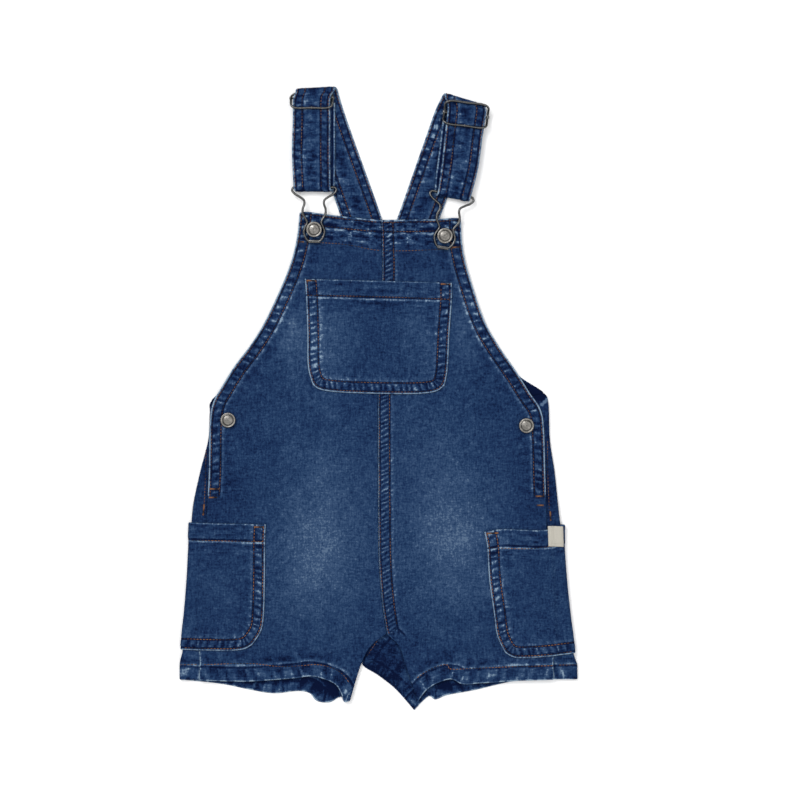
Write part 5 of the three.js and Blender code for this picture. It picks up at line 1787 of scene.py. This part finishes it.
class SHORTALLS_OT_bib_buttons(bpy.types.Operator):
    """The shank buttons on the bib"""

    bl_idname = "shortalls.bib_buttons"
    bl_label = "Bib buttons"

    def execute(self, context):
        radius = sizes()["bib_button"]
        for place, word in BIB_BUTTONS:
            shank_button(f"bib_button_{word}_head", place, radius, BIB_NECK, f"bib_button_{word}")
        return {"FINISHED"}


class SHORTALLS_OT_side_buttons(bpy.types.Operator):
    """The shank buttons of the side openings"""

    bl_idname = "shortalls.side_buttons"
    bl_label = "Side buttons"

    def execute(self, context):
        radius = sizes()["side_button"]
        for place, word in SIDE_BUTTONS:
            shank_button(f"side_button_{word}_head", place, radius, SIDE_NECK, f"side_button_{word}")
        return {"FINISHED"}


# The stage, in metres: the floor, and where the camera looks down from
FLOOR_HEIGHT, CAMERA_SPOT, CLOTH_TOP = -0.0003, (0.0172, -0.0011), 0.006


class SHORTALLS_OT_stage(bpy.types.Operator):
    """A plain pale floor, soft studio light and the camera straight above"""

    bl_idname = "shortalls.stage"
    bl_label = "Stage"

    def execute(self, context):
        deselected()
        bpy.ops.mesh.primitive_plane_add(size=8, location=(0, 0, FLOOR_HEIGHT))
        floor = context.object
        floor.name = "floor"
        paper, tree, shader, position = new_material("Pale floor", 0.9, specular=0.1)
        tones = ((0.3, (0.93, 0.93, 0.93, 1)), (0.7, (0.95, 0.95, 0.95, 1)))
        tint = stepped_colour(tree, noise(tree, position, 0.002), tones)
        tree.links.new(tint, shader.inputs["Base Color"])
        floor.data.materials.append(paper)
        world = bpy.data.worlds.new("Studio")
        world.use_nodes = True
        sky = world.node_tree
        way = node(sky, "ShaderNodeSeparateXYZ")
        sky.links.new(node(sky, "ShaderNodeTexCoord").outputs["Generated"], way.inputs[0])
        glow = stepped_colour(sky, way.outputs["Z"], ((0.3, (0.06, 0.06, 0.065, 1)), (0.9, (1, 1, 1, 1))))
        sky.links.new(glow, sky.nodes["Background"].inputs["Color"])
        sky.nodes["Background"].inputs["Strength"].default_value = 1.38
        context.scene.world = world
        for name, place, energy, size in (
            ("key", (-0.9, 1.1, 1.9), 26.0, 1.0), ("fill", (1.3, -0.6, 2.0), 8.5, 1.6)
        ):
            light = bpy.data.lights.new(name, "AREA")
            light.energy, light.size = energy, size
            lamp = bpy.data.objects.new(name, light)
            lamp.location = place
            lamp.rotation_euler = (-Vector(place)).to_track_quat("-Z", "Y").to_euler()
            context.collection.objects.link(lamp)
        view = bpy.data.cameras.new("camera")
        view.lens = 100
        view.sensor_width = 36
        camera = bpy.data.objects.new("camera", view)
        height = CLOTH_TOP + context.scene.shortalls_sizes.camera_distance
        camera.location = (*CAMERA_SPOT, height)
        context.collection.objects.link(camera)
        context.scene.camera = camera
        context.scene.view_settings.view_transform = "Standard"
        return {"FINISHED"}


class SHORTALLS_PT_panel(bpy.types.Panel):
    """Builds the shortalls piece by piece"""

    bl_idname = "SHORTALLS_PT_panel"
    bl_label = "Denim Shortalls"
    bl_space_type = "VIEW_3D"
    bl_region_type = "UI"
    bl_category = "Shortalls"

    def draw(self, context):
        layout = self.layout
        for group in (context.scene.shortalls_sizes, context.scene.shortalls_colours):
            column = layout.column()
            for name in type(group).__annotations__:
                column.prop(group, name)
        for operator in OPERATORS:
            layout.operator(operator.bl_idname)


OPERATORS = (
    SHORTALLS_OT_back_panels,
    SHORTALLS_OT_front_panels,
    SHORTALLS_OT_bib_pocket,
    SHORTALLS_OT_side_pockets,
    SHORTALLS_OT_tag,
    SHORTALLS_OT_straps,
    SHORTALLS_OT_stitching,
    SHORTALLS_OT_clips,
    SHORTALLS_OT_sliders,
    SHORTALLS_OT_bib_buttons,
    SHORTALLS_OT_side_buttons,
    SHORTALLS_OT_stage,
)
CLASSES = (ShortallsSizes, ShortallsColours, *OPERATORS, SHORTALLS_PT_panel)


def register():
    for cls in CLASSES:
        bpy.utils.register_class(cls)
    bpy.types.Scene.shortalls_sizes = bpy.props.PointerProperty(type=ShortallsSizes)
    bpy.types.Scene.shortalls_colours = bpy.props.PointerProperty(type=ShortallsColours)


def unregister():
    del bpy.types.Scene.shortalls_colours
    del bpy.types.Scene.shortalls_sizes
    for cls in reversed(CLASSES):
        bpy.utils.unregister_class(cls)


def main():
    register()
    for operator in OPERATORS:
        family, name = operator.bl_idname.split(".")
        getattr(getattr(bpy.ops, family), name)()


if __name__ == "__main__":
    main()
